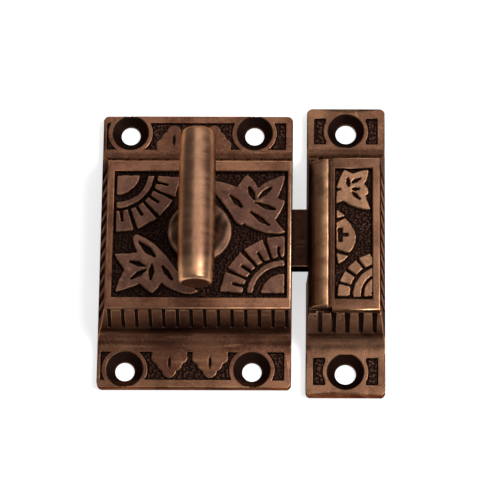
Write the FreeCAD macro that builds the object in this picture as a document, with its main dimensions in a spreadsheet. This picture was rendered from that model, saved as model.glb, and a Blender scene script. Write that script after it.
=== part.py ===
import math
import os

import FreeCAD
import Part
import Sketcher

doc = FreeCAD.newDocument("cupboard_latch")
sheet = doc.addObject("Spreadsheet::Sheet", "sizes")

# Driving dimensions in millimetres. The spindle's axis is Z, the back of the latch lies on Z = 0,
# X runs from the case towards the keeper and Y along the ears.
SIZES = {
    # case casting
    "case_left": 19.5,
    "case_right": 17.3,
    "ear_length": 7.25,
    "ear_thickness": 2.2,
    "corner_radius": 1.0,
    "panel_height": 11.4,
    "panel_half": 14.9,
    "side_draft": 1.8,
    "panel_edge": 0.9,
    "reed_step": 0.2,
    "reed_run": 2.05,
    "reed_drop": 4.2,
    "cove_radius": 3.1,
    "reed_margin": 0.8,
    "reed_gap": 1.05,
    "reed_depth": 0.55,
    "side_reed_margin": 0.9,
    "side_reed_depth": 0.45,
    "frame_left": 1.3,
    "frame_right": 0.85,
    "frame_ends": 2.3,
    "field_depth": 0.9,
    "relief_rise": 0.65,
    "relief_root": 0.3,
    "relief_side_margin": 0.55,
    "relief_end_margin": 0.95,
    "cut_margin": 1.0,
    # case inside
    "front_wall": 1.0,
    "right_wall": 2.0,
    "left_wall": 3.2,
    "end_wall": 2.1,
    "cavity_flare": 3.8,
    "plate_thickness": 1.0,
    "plate_inset_left": 2.3,
    "plate_inset_right": 1.4,
    "plate_lap": 0.65,
    "plate_clearance": 0.15,
    "plate_screw_inset": 2.9,
    "plate_boss_radius": 2.1,
    "plate_screw_radius": 0.9,
    "plate_head_radius": 1.7,
    "plate_screw_length": 5.0,
    "thread_clearance": 0.03,
    "rib_thickness": 1.2,
    "rib_end": 4.7,
    # screw holes and ear ornament of the case
    "hole_inset_left": 5.25,
    "hole_inset_right": 7.45,
    "hole_from_foot": 3.75,
    "screw_hole_radius": 1.85,
    "countersink_radius": 3.55,
    "countersink_depth": 1.7,
    "ring_radius": 4.35,
    "ear_recess_depth": 0.45,
    "ear_recess_from_foot": 0.35,
    "ear_recess_length": 5.5,
    "ear_border": 0.7,
    "clover_middle": -1.95,
    "clover_gap": 3.85,
    "clover_lobe": 2.05,
    "clover_tip": 4.05,
    "clover_spread": 1.55,
    "clover_lobe_radius": 1.15,
    "clover_tip_radius": 1.35,
    "clover_vein_start": 0.9,
    "clover_vein_end": 3.7,
    "clover_vein_width": 0.65,
    # handle
    "spindle_radius": 2.5,
    "spindle_clearance": 0.05,
    "boss_radius": 5.6,
    "boss_rise": 0.6,
    "collar_gap": 0.15,
    "collar_radius": 6.1,
    "collar_edge": 1.0,
    "collar_round": 0.35,
    "collar_rim": 0.8,
    "neck_radius": 2.9,
    "neck_flare_radius": 3.4,
    "neck_flare_rise": 4.0,
    "bar_axis": 26.2,
    "bar_half": 15.0,
    "bar_end_radius": 3.1,
    "bar_middle_radius": 3.42,
    "bar_end_round": 0.75,
    # cam on the tang
    "tang_half": 1.7,
    "tang_clearance": 0.05,
    "cam_gap": 0.3,
    "cam_thickness": 3.6,
    "cam_hub_radius": 3.2,
    "cam_reach": 5.2,
    "cam_tip_radius": 1.0,
    "cam_arm_half": 0.55,
    "cam_half_swing": 35.0,
    "cam_play": 0.15,
    "washer_radius": 3.0,
    "washer_thickness": 0.6,
    "cam_screw_radius": 1.1,
    "cam_screw_length": 3.0,
    "cam_screw_head_radius": 2.0,
    "cam_screw_head": 1.4,
    "driver_slot": 0.5,
    # bolt and spring
    "bolt_half": 5.8,
    "bolt_thickness": 3.2,
    "bolt_gap": 0.3,
    "bolt_side_gap": 0.2,
    "bolt_reach": 6.7,
    "bolt_bevel": 2.4,
    "bolt_nose": 0.8,
    "bolt_tail": 6.0,
    "bolt_tail_front": 3.6,
    "bolt_notch_right": 9.7,
    "bolt_rail_y": 3.6,
    "bolt_tooth_y": 3.7,
    "spigot_radius": 1.5,
    "spigot_length": 2.4,
    "spring_height": 5.2,
    "spring_radius": 2.3,
    "wire_radius": 0.32,
    "spring_seat": 0.05,
    # keeper casting
    "door_gap": 2.7,
    "keeper_half": 7.55,
    "keeper_ear_length": 8.0,
    "keeper_ear": 2.4,
    "keeper_panel_height": 12.0,
    "keeper_panel_half": 15.3,
    "keeper_panel_left": 2.6,
    "keeper_panel_right": 6.5,
    "keeper_panel_edge": 1.7,
    "keeper_reed_step": 0.3,
    "keeper_reed_run": 2.3,
    "keeper_reed_drop": 4.6,
    "keeper_reed_left": 2.75,
    "keeper_reed_right": 2.1,
    "keeper_side_margin": 2.3,
    "lip_left": 7.1,
    "lip_right": 3.2,
    "lip_inset": 0.7,
    "lip_height": 12.9,
    "lip_radius": 3.9,
    "keeper_frame": 2.3,
    "keeper_field_left": 2.0,
    "keeper_field_right": 4.95,
    "keeper_wall": 1.6,
    "keeper_end_wall": 2.4,
    "mouth_gap": 0.9,
    "keeper_hole_from_foot": 3.4,
    "keeper_hole_radius": 2.0,
    "keeper_slot_inner": 3.9,
    "keeper_slot_outer": 6.1,
    "keeper_slot_from_foot": 0.7,
    "keeper_slot_length": 5.3,
}
for row, (alias, number) in enumerate(SIZES.items(), start=1):
    sheet.set(f"A{row}", alias)
    sheet.set(f"B{row}", str(number))
    sheet.setAlias(f"B{row}", alias)
doc.recompute()

# Places that several pieces share, as sums of sizes.
FIELD_FLOOR = "panel_height -field_depth"
CEILING = FIELD_FLOOR + " -front_wall"
REED_TOP = "panel_height -panel_edge"
REED_FOOT = "panel_half reed_step reed_run"
EAR_FOOT = REED_FOOT + " cove_radius"
EAR_END = EAR_FOOT + " ear_length"
PANEL_LEFT = "case_left -side_draft"
CAVITY_LEFT = "case_left -left_wall"
CAVITY_RIGHT = "case_right -right_wall"
CAVITY_HALF = "panel_half -end_wall"
PLATE_LEFT = "case_left -plate_inset_left"
PLATE_RIGHT = "case_right -plate_inset_right"
PLATE_HALF = REED_FOOT + " plate_lap"
PLATE_SCREW_LEFT = CAVITY_LEFT + " -plate_screw_inset"
PLATE_SCREW_RIGHT = CAVITY_RIGHT + " -plate_screw_inset"
PLATE_SCREW_Y = CAVITY_HALF + " -plate_screw_inset"
HOLE_LEFT = "case_left -hole_inset_left"
HOLE_RIGHT = "case_right -hole_inset_right"
HOLE_Y = EAR_FOOT + " hole_from_foot"
BOLT_TOP = CEILING + " -bolt_gap"
BOLT_BOTTOM = BOLT_TOP + " -bolt_thickness"
BOLT_TIP = "case_right bolt_reach"
CAM_TOP = CEILING + " -cam_gap"
CAM_BOTTOM = CAM_TOP + " -cam_thickness"
WASHER_BOTTOM = CAM_BOTTOM + " -washer_thickness"
COLLAR_BOTTOM = "panel_height boss_rise collar_gap"
COLLAR_TOP = COLLAR_BOTTOM + " collar_edge collar_round"
KEEPER_X = "case_right door_gap keeper_half"
KEEPER_FLOOR = "keeper_panel_height -field_depth"
KEEPER_CEILING = KEEPER_FLOOR + " -keeper_wall"
KEEPER_REED_TOP = "keeper_panel_height -keeper_panel_edge"
KEEPER_REED_FOOT = "keeper_panel_half keeper_reed_step keeper_reed_run"
KEEPER_EAR_FOOT = KEEPER_REED_FOOT + " cove_radius"
KEEPER_END = KEEPER_EAR_FOOT + " keeper_ear_length"
KEEPER_CAVITY_HALF = "keeper_panel_half -keeper_end_wall"
KEEPER_HOLE_Y = KEEPER_EAR_FOOT + " keeper_hole_from_foot"
LIP_HALF = "keeper_panel_half -lip_inset"


def amount(terms):
    """Add up signed size names, such as "panel_half -frame_ends"."""
    total = 0.0
    for term in terms.split():
        sign = -1.0 if term.startswith("-") else 1.0
        total += sign * float(sheet.get(term.lstrip("-")))
    return total


def formula(terms):
    """Write the same sum as an expression on the sheet."""
    text = "0 mm"
    for term in terms.split():
        sign = "-" if term.startswith("-") else "+"
        text += f" {sign} sizes.{term.lstrip('-')} * 1 mm"
    return text


def negative(terms):
    """Turn every sign of a sum round."""
    turned = []
    for term in terms.split():
        turned.append(term[1:] if term.startswith("-") else "-" + term)
    return " ".join(turned)


def bind(item, name, terms):
    item.setExpression(name, formula(terms))


def place(item, x, y, z):
    bind(item, "Placement.Base.x", x)
    bind(item, "Placement.Base.y", y)
    bind(item, "Placement.Base.z", z)
    return item


def block(name, x_low, x_high, y_low, y_high, z_low, z_high):
    """A box between sums of sizes."""
    item = doc.addObject("Part::Box", name)
    bind(item, "Length", f"{x_high} {negative(x_low)}")
    bind(item, "Width", f"{y_high} {negative(y_low)}")
    bind(item, "Height", f"{z_high} {negative(z_low)}")
    return place(item, x_low, y_low, z_low)


def rod(name, radius, x, y, z_low, z_high):
    """A round post along Z."""
    item = doc.addObject("Part::Cylinder", name)
    bind(item, "Radius", radius)
    bind(item, "Height", f"{z_high} {negative(z_low)}")
    return place(item, x, y, z_low)


def cone(name, radius_low, radius_high, x, y, z_low, z_high):
    item = doc.addObject("Part::Cone", name)
    bind(item, "Radius1", radius_low)
    bind(item, "Radius2", radius_high)
    bind(item, "Height", f"{z_high} {negative(z_low)}")
    return place(item, x, y, z_low)


def fuse(name, items):
    item = doc.addObject("Part::MultiFuse", name)
    item.Shapes = items
    item.Refine = True
    return item


def cut(name, base, tool):
    item = doc.addObject("Part::Cut", name)
    item.Base = base
    item.Tool = tool
    item.Refine = True
    return item


def common(name, items):
    item = doc.addObject("Part::MultiCommon", name)
    item.Shapes = items
    item.Refine = True
    return item


def origin_part(body, role):
    for feature in body.Origin.OriginFeatures:
        if feature.Role == role:
            return feature
    raise ValueError(role)


def sketch_on(body, name, role, offset=""):
    """A sketch on one of the body's own planes, moved along the plane's normal."""
    sketch = body.newObject("Sketcher::SketchObject", name)
    sketch.AttachmentSupport = (origin_part(body, role), [""])
    sketch.MapMode = "FlatFace"
    if offset:
        bind(sketch, "AttachmentOffset.Base.z", offset)
    return sketch


def arc_middle(start, end, radius):
    """The middle of an arc that bulges to the left of its travel, or to the right if radius is negative."""
    along = end - start
    half = along.Length / 2.0
    rise = abs(radius) - math.sqrt(radius * radius - half * half)
    left = FreeCAD.Vector(-along.y, along.x, 0).normalize()
    return (start + end) * 0.5 + left * math.copysign(rise, radius)


def outline(sketch, corners):
    """A closed outline held by the sheet. A corner is (x, y), or (x, y, radius) if an arc leaves it."""
    points = [FreeCAD.Vector(amount(corner[0]), amount(corner[1]), 0) for corner in corners]
    edges = []
    for index, corner in enumerate(corners):
        start = points[index]
        end = points[(index + 1) % len(points)]
        bend = corner[2] if len(corner) == 3 else ""
        if bend:
            middle = arc_middle(start, end, amount(bend))
            edge = sketch.addGeometry(Part.Arc(start, middle, end), False)
        else:
            edge = sketch.addGeometry(Part.LineSegment(start, end), False)
        forward = sketch.getPoint(edge, 1).distanceToPoint(start) < 1e-6
        edges.append((edge, 1 if forward else 2, 2 if forward else 1, bend))
    for index, (edge, first, last, bend) in enumerate(edges):
        follower = edges[(index + 1) % len(edges)]
        sketch.addConstraint(Sketcher.Constraint("Coincident", edge, last, follower[0], follower[1]))
        if bend:
            number = sketch.addConstraint(Sketcher.Constraint("Radius", edge, abs(amount(bend))))
            bind(sketch, f"Constraints[{number}]", bend.lstrip("-"))
        for kind, axis, terms in (("DistanceX", -2, corners[index][0]), ("DistanceY", -1, corners[index][1])):
            if not terms:
                sketch.addConstraint(Sketcher.Constraint("PointOnObject", edge, first, axis))
                continue
            held = Sketcher.Constraint(kind, -1, 1, edge, first, amount(terms))
            number = sketch.addConstraint(held)
            bind(sketch, f"Constraints[{number}]", terms)


def both_ends(half):
    """Complete one end of a profile with its mirror image."""
    mirrored = []
    for index in range(len(half) - 1, -1, -1):
        arrives = half[index - 1] if index else ("", "")
        corner = (negative(half[index][0]), half[index][1])
        if len(arrives) == 3:
            corner += (arrives[2],)
        mirrored.append(corner)
    return half + mirrored


def pad(body, name, sketch, length, back_length="", symmetric=False):
    feature = body.newObject("PartDesign::Pad", name)
    feature.Profile = sketch
    bind(feature, "Length", length)
    if back_length:
        feature.SideType = "Two sides"
        bind(feature, "Length2", back_length)
    if symmetric:
        feature.SideType = "Symmetric"
    return feature


def pocket(body, name, sketch, length, symmetric=False):
    feature = body.newObject("PartDesign::Pocket", name)
    feature.Profile = sketch
    bind(feature, "Length", length)
    if symmetric:
        feature.SideType = "Symmetric"
    return feature


def repeat(body, name, original, role, length, count):
    """Copies of a feature spread over a length along one of the body's axes."""
    feature = body.newObject("PartDesign::LinearPattern", name)
    feature.Originals = [original]
    feature.Direction = (origin_part(body, role), [""])
    feature.Mode = "Extent"
    bind(feature, "Length", length)
    feature.Occurrences = count
    body.Tip = feature
    return feature


def round_corners(body, name, base, x_places, y_end):
    """Round the upright corner edges of a plate."""
    doc.recompute()
    names = []
    for number, edge in enumerate(base.Shape.Edges, start=1):
        middle = edge.CenterOfMass
        upright = abs(edge.tangentAt(edge.FirstParameter).z) > 0.99
        at_side = min(abs(middle.x - x) for x in x_places) < 1e-4
        if upright and at_side and abs(abs(middle.y) - y_end) < 1e-4:
            names.append(f"Edge{number}")
    feature = body.newObject("PartDesign::Fillet", name)
    feature.Base = (base, names)
    bind(feature, "Radius", "corner_radius")
    return feature


def drawn(name, wires, z, rise, wide, tall):
    """Raise relief from free-hand outlines, stretched wide and tall. A corner is (x, y) or (x, y, bow)."""
    sketch = doc.addObject("Sketcher::SketchObject", name + "_lines")
    for wire in wires:
        for index, corner in enumerate(wire):
            start = FreeCAD.Vector(corner[0] * wide, corner[1] * tall, 0)
            follower = wire[(index + 1) % len(wire)]
            end = FreeCAD.Vector(follower[0] * wide, follower[1] * tall, 0)
            if len(corner) == 3:
                along = end - start
                left = FreeCAD.Vector(-along.y, along.x, 0).normalize()
                middle = (start + end) * 0.5 + left * (corner[2] * wide)
                sketch.addGeometry(Part.Arc(start, middle, end), False)
            else:
                sketch.addGeometry(Part.LineSegment(start, end), False)
    bind(sketch, "Placement.Base.z", z)
    relief = doc.addObject("Part::Extrusion", name)
    relief.Base = sketch
    relief.DirMode = "Normal"
    relief.FaceMakerClass = "Part::FaceMakerBullseye"
    relief.Solid = True
    bind(relief, "LengthFwd", rise)
    return relief


def slit(start, end, width):
    """A vein cut into a leaf: a thin lens between two points."""
    first = FreeCAD.Vector(start[0], start[1], 0)
    last = FreeCAD.Vector(end[0], end[1], 0)
    along = last - first
    left = FreeCAD.Vector(-along.y, along.x, 0).normalize() * (width / 2.0)
    wide = first + along * 0.55
    return [tuple(first)[:2], tuple(wide - left)[:2], tuple(last)[:2], tuple(wide + left)[:2]]


def around(centre, radius, degrees):
    angle = math.radians(degrees)
    return (centre[0] + radius * math.cos(angle), centre[1] + radius * math.sin(angle))


def sector(centre, inner, outer, start, end):
    """A piece of a ring with round inner and outer edges."""
    turn = math.radians((end - start) / 2.0)
    outer_bow = -outer * (1.0 - math.cos(turn))
    inner_bow = inner * (1.0 - math.cos(turn))
    return [
        around(centre, inner, start),
        around(centre, outer, start) + (outer_bow,),
        around(centre, outer, end),
        around(centre, inner, end) + (inner_bow,),
    ]


def fan_block(centre, inner, outer, start, end, slot_depth, slot_width):
    """One straight-edged leaf of a fan, with a slot that starts from its inner edge."""
    middle = (start + end) / 2.0
    opening = math.degrees(slot_width / 2.0 / inner)
    closing = math.degrees(slot_width / 2.0 / (inner + slot_depth))
    wire = [around(centre, inner, start), around(centre, outer, start), around(centre, outer, end)]
    wire.append(around(centre, inner, end))
    if slot_depth:
        wire.append(around(centre, inner, middle + opening))
        wire.append(around(centre, inner + slot_depth, middle + closing))
        wire.append(around(centre, inner + slot_depth, middle - closing))
        wire.append(around(centre, inner, middle - opening))
    return wire


def make_case_casting():
    """The plain casting: one side profile, a sloping left side, reeds and the sunk field."""
    body = doc.addObject("PartDesign::Body", "case_casting")
    side = sketch_on(body, "case_side", "YZ_Plane")
    outline(side, both_ends([
        (EAR_END, ""),
        (EAR_END, "ear_thickness"),
        (EAR_FOOT, "ear_thickness", "cove_radius"),
        (REED_FOOT, "ear_thickness cove_radius"),
        (REED_FOOT, REED_TOP + " -reed_drop"),
        ("panel_half reed_step", REED_TOP),
        ("panel_half", REED_TOP),
        ("panel_half", "panel_height"),
    ]))
    length = pad(body, "case_length", side, "case_right", "case_left")
    x_places = (-amount("case_left"), amount("case_right"))
    round_corners(body, "case_corners", length, x_places, amount(EAR_END))

    slope = sketch_on(body, "left_slope", "XZ_Plane")
    outline(slope, [
        ("-case_left -cut_margin", "ear_thickness"),
        ("-case_left", "ear_thickness"),
        (negative(PANEL_LEFT), "panel_height"),
        (negative(PANEL_LEFT), "panel_height cut_margin"),
        ("-case_left -cut_margin", "panel_height cut_margin"),
    ])
    pocket(body, "left_slope_cut", slope, f"{EAR_END} {EAR_END}", symmetric=True)

    reeds = sketch_on(body, "end_reed", "YZ_Plane", negative(PANEL_LEFT) + " reed_margin")
    for sign in ("", "-"):
        shape = [
            ("panel_half reed_step -reed_depth", REED_TOP),
            (REED_FOOT + " -reed_depth", REED_TOP + " -reed_drop"),
            (REED_FOOT + " cut_margin", REED_TOP + " -reed_drop"),
            ("panel_half reed_step cut_margin", REED_TOP),
        ]
        if sign:
            shape = [(negative(x), y) for x, y in shape]
        outline(reeds, shape)
    first_reed = pocket(body, "end_reed_cut", reeds, "reed_gap", symmetric=True)
    repeat(body, "end_reeds", first_reed, "X_Axis", PANEL_LEFT + " case_right -reed_margin -reed_margin", 14)

    side_reed = sketch_on(body, "side_reed", "XZ_Plane", "panel_half -side_reed_margin")
    outline(side_reed, [
        ("-case_left -cut_margin", "ear_thickness"),
        ("-case_left side_reed_depth", "ear_thickness"),
        (negative(PANEL_LEFT) + " side_reed_depth", REED_TOP),
        ("-case_left -cut_margin", REED_TOP),
    ])
    first_side = pocket(body, "side_reed_cut", side_reed, "reed_gap", symmetric=True)
    row_length = "panel_half panel_half -side_reed_margin -side_reed_margin"
    repeat(body, "side_reeds", first_side, "Y_Axis", row_length, 12)

    field = sketch_on(body, "field", "XY_Plane", "panel_height")
    outline(field, [
        (negative(PANEL_LEFT) + " frame_left", "-panel_half frame_ends"),
        ("case_right -frame_right", "-panel_half frame_ends"),
        ("case_right -frame_right", "panel_half -frame_ends"),
        (negative(PANEL_LEFT) + " frame_left", "panel_half -frame_ends"),
    ])
    body.Tip = pocket(body, "field_cut", field, "field_depth")
    return body


def make_case_relief():
    """Two ivy leaves and two fans on the sunk field, drawn for a field of 32.3 by 25.2 mm."""
    base = FIELD_FLOOR + " -relief_root"
    rise = "relief_root relief_rise"
    wide = amount(PANEL_LEFT + " -frame_left case_right -frame_right") / 32.3
    tall = amount("panel_half panel_half -frame_ends -frame_ends") / 25.2
    upper_leaf = drawn("upper_leaf", [
        [
            (1.8, 10.7, 0.25), (6.8, 9.3, 0.15), (8.7, 12.0, 0.15), (10.7, 9.3, 0.3), (15.6, 11.8, 0.25),
            (14.2, 7.2), (15.7, 6.7, 0.2), (13.9, 2.9, -0.1), (15.8, 0.4, 0.75), (8.2, 2.2), (7.6, 1.8),
            (6.6, 2.5, -0.1), (2.2, 9.0, 0.1),
        ],
        slit((5.4, 7.9), (7.8, 5.4), 0.75),
        slit((8.9, 9.6), (10.1, 6.9), 0.75),
        slit((13.1, 9.3), (10.9, 7.3), 0.75),
        slit((10.2, 6.4), (13.9, 4.9), 0.75),
        slit((9.2, 4.6), (12.9, 1.7), 0.85),
    ], base, rise, wide, tall)
    lower_leaf = drawn("lower_leaf", [
        [
            (-12.4, -0.7, 0.2), (-11.6, -0.3, 0.35), (-7.0, -3.6, 0.1), (-5.6, -5.4, -0.3), (-0.2, -11.5, 0.5),
            (-4.5, -11.1, 0.2), (-7.0, -9.5, 0.1), (-8.6, -11.8, 0.2), (-11.0, -9.8, 0.1), (-15.4, -11.5, 0.2),
            (-13.8, -7.2, 0.1), (-15.7, -4.1, -0.2), (-11.5, -3.7, 0.2),
        ],
        slit((-11.3, -1.6), (-8.3, -4.6), 1.1),
        slit((-12.9, -5.5), (-10.1, -6.5), 0.7),
        slit((-12.7, -9.1), (-9.9, -7.1), 0.7),
        slit((-9.0, -9.3), (-8.8, -6.1), 0.7),
        slit((-4.9, -9.3), (-7.0, -6.3), 0.75),
    ], base, rise, wide, tall)
    pieces = [upper_leaf, lower_leaf]
    for name, turn in (("lower_fan", 0.0), ("upper_fan", 180.0)):
        side = 1.0 if turn == 0.0 else -1.0
        centre = (15.7 * side, -12.2 * side)
        wires = [sector(centre, 5.9, 6.85, turn + 84.0, turn + 186.0)]
        wires.append(sector(centre, 0.2, 4.2, turn + 82.0, turn + 188.0))
        for index in range(4):
            start = turn + 87.5 + 23.2 * index
            wires.append(fan_block(centre, 7.75, 11.8, start, start + 18.5, 2.2, 0.75))
        fan = drawn(f"{name}_whole", wires, base, rise, wide, tall)
        room = block(f"{name}_room", negative(PANEL_LEFT) + " frame_left relief_side_margin",
                     "case_right -frame_right -relief_side_margin", "-panel_half frame_ends relief_end_margin",
                     "panel_half -frame_ends -relief_end_margin", base, "panel_height")
        pieces.append(common(name, [fan, room]))
    return pieces


def make_ear_recesses():
    """Sunk grounds of both ears: they go round the screw lands and leave two clover leaves standing."""
    low = "ear_thickness -ear_recess_depth"
    high = "ear_thickness cut_margin"
    recesses = []
    for end, sign in (("upper", ""), ("lower", "-")):
        def along(terms):
            return negative(terms) if sign else terms

        inner = EAR_FOOT + " ear_recess_from_foot"
        near, far = sorted((along(inner), along(inner + " ear_recess_length")), key=amount)
        grounds = [
            block(f"{end}_middle_ground", negative(HOLE_LEFT), HOLE_RIGHT, near, far, low, high),
            block(f"{end}_right_ground", HOLE_RIGHT, "case_right -ear_border -ear_border", near, far, low, high),
            block(f"{end}_left_ground", "-case_left ear_border", negative(HOLE_LEFT), near, far, low, high),
        ]
        standing = []
        for side, x in (("left", negative(HOLE_LEFT)), ("right", HOLE_RIGHT)):
            standing.append(rod(f"{end}_{side}_land", "ring_radius", x, along(HOLE_Y), low, high))
        middle = "clover_middle"
        for side, x in (("left", f"{middle} -clover_gap"), ("right", f"{middle} clover_gap")):
            lobe_y = along(EAR_FOOT + " clover_lobe")
            for name, shift in (("a", "-clover_spread"), ("b", "clover_spread"), ("c", "")):
                lobe = rod(f"{end}_{side}_lobe_{name}", "clover_lobe_radius", f"{x} {shift}", lobe_y, low, high)
                standing.append(lobe)
            tip_y = along(EAR_FOOT + " clover_tip")
            standing.append(rod(f"{end}_{side}_tip", "clover_tip_radius", x, tip_y, low, high))
            stalk_low, stalk_high = sorted((along(EAR_FOOT), lobe_y), key=amount)
            stalk = block(f"{end}_{side}_stalk", f"{x} -clover_spread", f"{x} clover_spread",
                          stalk_low, stalk_high, low, high)
            standing.append(stalk)
        ground = fuse(f"{end}_grounds", grounds)
        recesses.append(cut(f"{end}_recess", ground, fuse(f"{end}_standing", standing)))
        for side, x in (("left", f"{middle} -clover_gap"), ("right", f"{middle} clover_gap")):
            start = (amount(x), amount(along(EAR_FOOT + " clover_vein_start")))
            finish = (amount(x), amount(along(EAR_FOOT + " clover_vein_end")))
            vein = slit(start, finish, amount("clover_vein_width"))
            recesses.append(drawn(f"{end}_{side}_vein", [vein], low, "ear_recess_depth cut_margin", 1.0, 1.0))
    return recesses


def make_case():
    """The case: casting hollowed from the back, relief on the front, then every hole."""
    casting = make_case_casting()
    cavity = doc.addObject("Part::Wedge", "cavity")
    cavity.Placement.Rotation = FreeCAD.Rotation(FreeCAD.Vector(1, 0, 0), 90)
    for low, high in (("Xmin", "Xmax"), ("X2min", "X2max")):
        bind(cavity, low, negative(CAVITY_LEFT))
        bind(cavity, high, CAVITY_RIGHT)
    bind(cavity, "Ymin", "-cut_margin")
    bind(cavity, "Ymax", CEILING)
    bind(cavity, "Zmin", negative(CAVITY_HALF) + " -cavity_flare")
    bind(cavity, "Zmax", CAVITY_HALF + " cavity_flare")
    bind(cavity, "Z2min", negative(CAVITY_HALF))
    bind(cavity, "Z2max", CAVITY_HALF)
    rebate = block("back_rebate", negative(PLATE_LEFT), PLATE_RIGHT, negative(PLATE_HALF), PLATE_HALF,
                   "-cut_margin", "plate_thickness")
    mouth = block("bolt_mouth", "case_right -right_wall -cut_margin", "case_right cut_margin",
                  "-bolt_half -bolt_side_gap", "bolt_half bolt_side_gap",
                  BOLT_BOTTOM + " -bolt_side_gap", BOLT_TOP + " bolt_side_gap")
    hollow = cut("hollow_case", casting, fuse("case_hollows", [cavity, rebate, mouth]))

    solids = [hollow, rod("spindle_boss", "boss_radius", "", "", FIELD_FLOOR + " -relief_root",
                          "panel_height boss_rise")]
    holes = [rod("spindle_hole", "spindle_radius spindle_clearance", "", "", "",
                 "panel_height boss_rise cut_margin")]
    for x_name, x in (("left", negative(PLATE_SCREW_LEFT)), ("right", PLATE_SCREW_RIGHT)):
        for y_name, y in (("low", negative(PLATE_SCREW_Y)), ("high", PLATE_SCREW_Y)):
            name = f"{x_name}_{y_name}"
            solids.append(rod(f"plate_boss_{name}", "plate_boss_radius", x, y, "plate_thickness",
                              CEILING + " relief_root"))
            holes.append(rod(f"plate_tap_{name}", "plate_screw_radius thread_clearance", x, y, "",
                             "plate_screw_length cut_margin"))
    for name, low, high in (
        ("low", "-bolt_half -bolt_side_gap -rib_thickness", "-bolt_half -bolt_side_gap"),
        ("high", "bolt_half bolt_side_gap", "bolt_half bolt_side_gap rib_thickness"),
    ):
        solids.append(block(f"guide_rib_{name}", negative(CAVITY_LEFT) + " -relief_root", "-rib_end", low, high,
                            "plate_thickness bolt_side_gap", CEILING + " relief_root"))
    solids += make_case_relief()
    for x_name, x in (("left", negative(HOLE_LEFT)), ("right", HOLE_RIGHT)):
        for y_name, y in (("low", negative(HOLE_Y)), ("high", HOLE_Y)):
            name = f"{x_name}_{y_name}"
            holes.append(rod(f"case_hole_{name}", "screw_hole_radius", x, y, "-cut_margin", "ear_thickness"))
            holes.append(cone(f"case_sink_{name}", "screw_hole_radius", "countersink_radius", x, y,
                              "ear_thickness -countersink_depth", "ear_thickness"))
    holes += make_ear_recesses()
    full = fuse("full_case", solids)
    return cut("case_node", full, fuse("case_holes", holes))


def make_handle():
    """The T-handle: a barrel bar, a flared neck with a collar, the spindle and its square tang."""
    body = doc.addObject("PartDesign::Body", "handle_casting")
    neck = sketch_on(body, "neck", "XZ_Plane")
    outline(neck, [
        ("", CAM_TOP),
        ("spindle_radius", CAM_TOP),
        ("spindle_radius", COLLAR_BOTTOM),
        ("collar_radius -collar_round", COLLAR_BOTTOM),
        ("collar_radius", COLLAR_BOTTOM + " collar_round"),
        ("collar_radius", COLLAR_TOP + " -collar_round"),
        ("collar_radius -collar_round", COLLAR_TOP),
        ("collar_radius -collar_rim", COLLAR_TOP, "neck_flare_radius"),
        ("neck_radius", COLLAR_TOP + " neck_flare_rise"),
        ("neck_radius", "bar_axis"),
        ("", "bar_axis"),
    ])
    turned = body.newObject("PartDesign::Revolution", "neck_turned")
    turned.Profile = neck
    turned.ReferenceAxis = (neck, ["V_Axis"])
    turned.Angle = 360

    bar = sketch_on(body, "bar", "XY_Plane", "bar_axis")
    outline(bar, [
        ("", "-bar_half"),
        ("bar_end_radius -bar_end_round", "-bar_half", "-bar_end_round"),
        ("bar_end_radius", "-bar_half bar_end_round"),
        ("bar_middle_radius", ""),
        ("bar_end_radius", "bar_half -bar_end_round", "-bar_end_round"),
        ("bar_end_radius -bar_end_round", "bar_half"),
        ("", "bar_half"),
    ])
    barrel = body.newObject("PartDesign::Revolution", "bar_turned")
    barrel.Profile = bar
    barrel.ReferenceAxis = (bar, ["V_Axis"])
    barrel.Angle = 360
    body.Tip = barrel
    tang = block("tang", "-tang_half", "tang_half", "-tang_half", "tang_half", CAM_BOTTOM, CAM_TOP + " cam_gap")
    tapped = rod("tang_tap", "cam_screw_radius thread_clearance", "", "", CAM_BOTTOM + " -cut_margin",
                 CAM_BOTTOM + " cam_screw_length")
    return cut("turn_handle_node", fuse("handle_and_tang", [body, tang]), tapped)


def make_cam():
    """A hub with one finger. At rest the finger stands half a swing off the Y axis, towards the keeper."""
    hub = rod("cam_hub", "cam_hub_radius", "", "", CAM_BOTTOM, CAM_TOP)
    arm = block("cam_arm", "", "cam_reach", "-cam_arm_half", "cam_arm_half", CAM_BOTTOM, CAM_TOP)
    tip = rod("cam_tip", "cam_tip_radius", "cam_reach", "", CAM_BOTTOM, CAM_TOP)
    finger = fuse("cam_finger", [hub, arm, tip])
    finger.Placement.Rotation = FreeCAD.Rotation(FreeCAD.Vector(0, 0, 1), 0)
    finger.setExpression("Placement.Rotation.Angle", "90 deg - sizes.cam_half_swing * 1 deg")
    side = "tang_half tang_clearance"
    hole = block("cam_square", negative(side), side, negative(side), side,
                 CAM_BOTTOM + " -cut_margin", CAM_TOP + " cut_margin")
    return cut("cam_node", finger, hole)


def make_cam_fixings():
    """The washer and the slotted cheese-head screw that hold the cam on the tang."""
    disc = rod("washer_disc", "washer_radius", "", "", WASHER_BOTTOM, CAM_BOTTOM)
    hole = rod("washer_hole", "cam_screw_radius tang_clearance", "", "", WASHER_BOTTOM + " -cut_margin",
               CAM_BOTTOM + " cut_margin")
    washer = cut("cam_washer_node", disc, hole)
    head_low = WASHER_BOTTOM + " -cam_screw_head"
    head = rod("cam_screw_head_disc", "cam_screw_head_radius", "", "", head_low, WASHER_BOTTOM)
    shank = rod("cam_screw_shank", "cam_screw_radius", "", "", head_low,
                CAM_BOTTOM + " cam_screw_length -plate_clearance")
    groove = block("cam_screw_slot", "-cam_screw_head_radius", "cam_screw_head_radius", "-driver_slot",
                   "", head_low + " -cut_margin", head_low + " driver_slot")
    return washer, cut("cam_screw_node", fuse("cam_screw_round", [head, shank]), groove)


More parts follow.
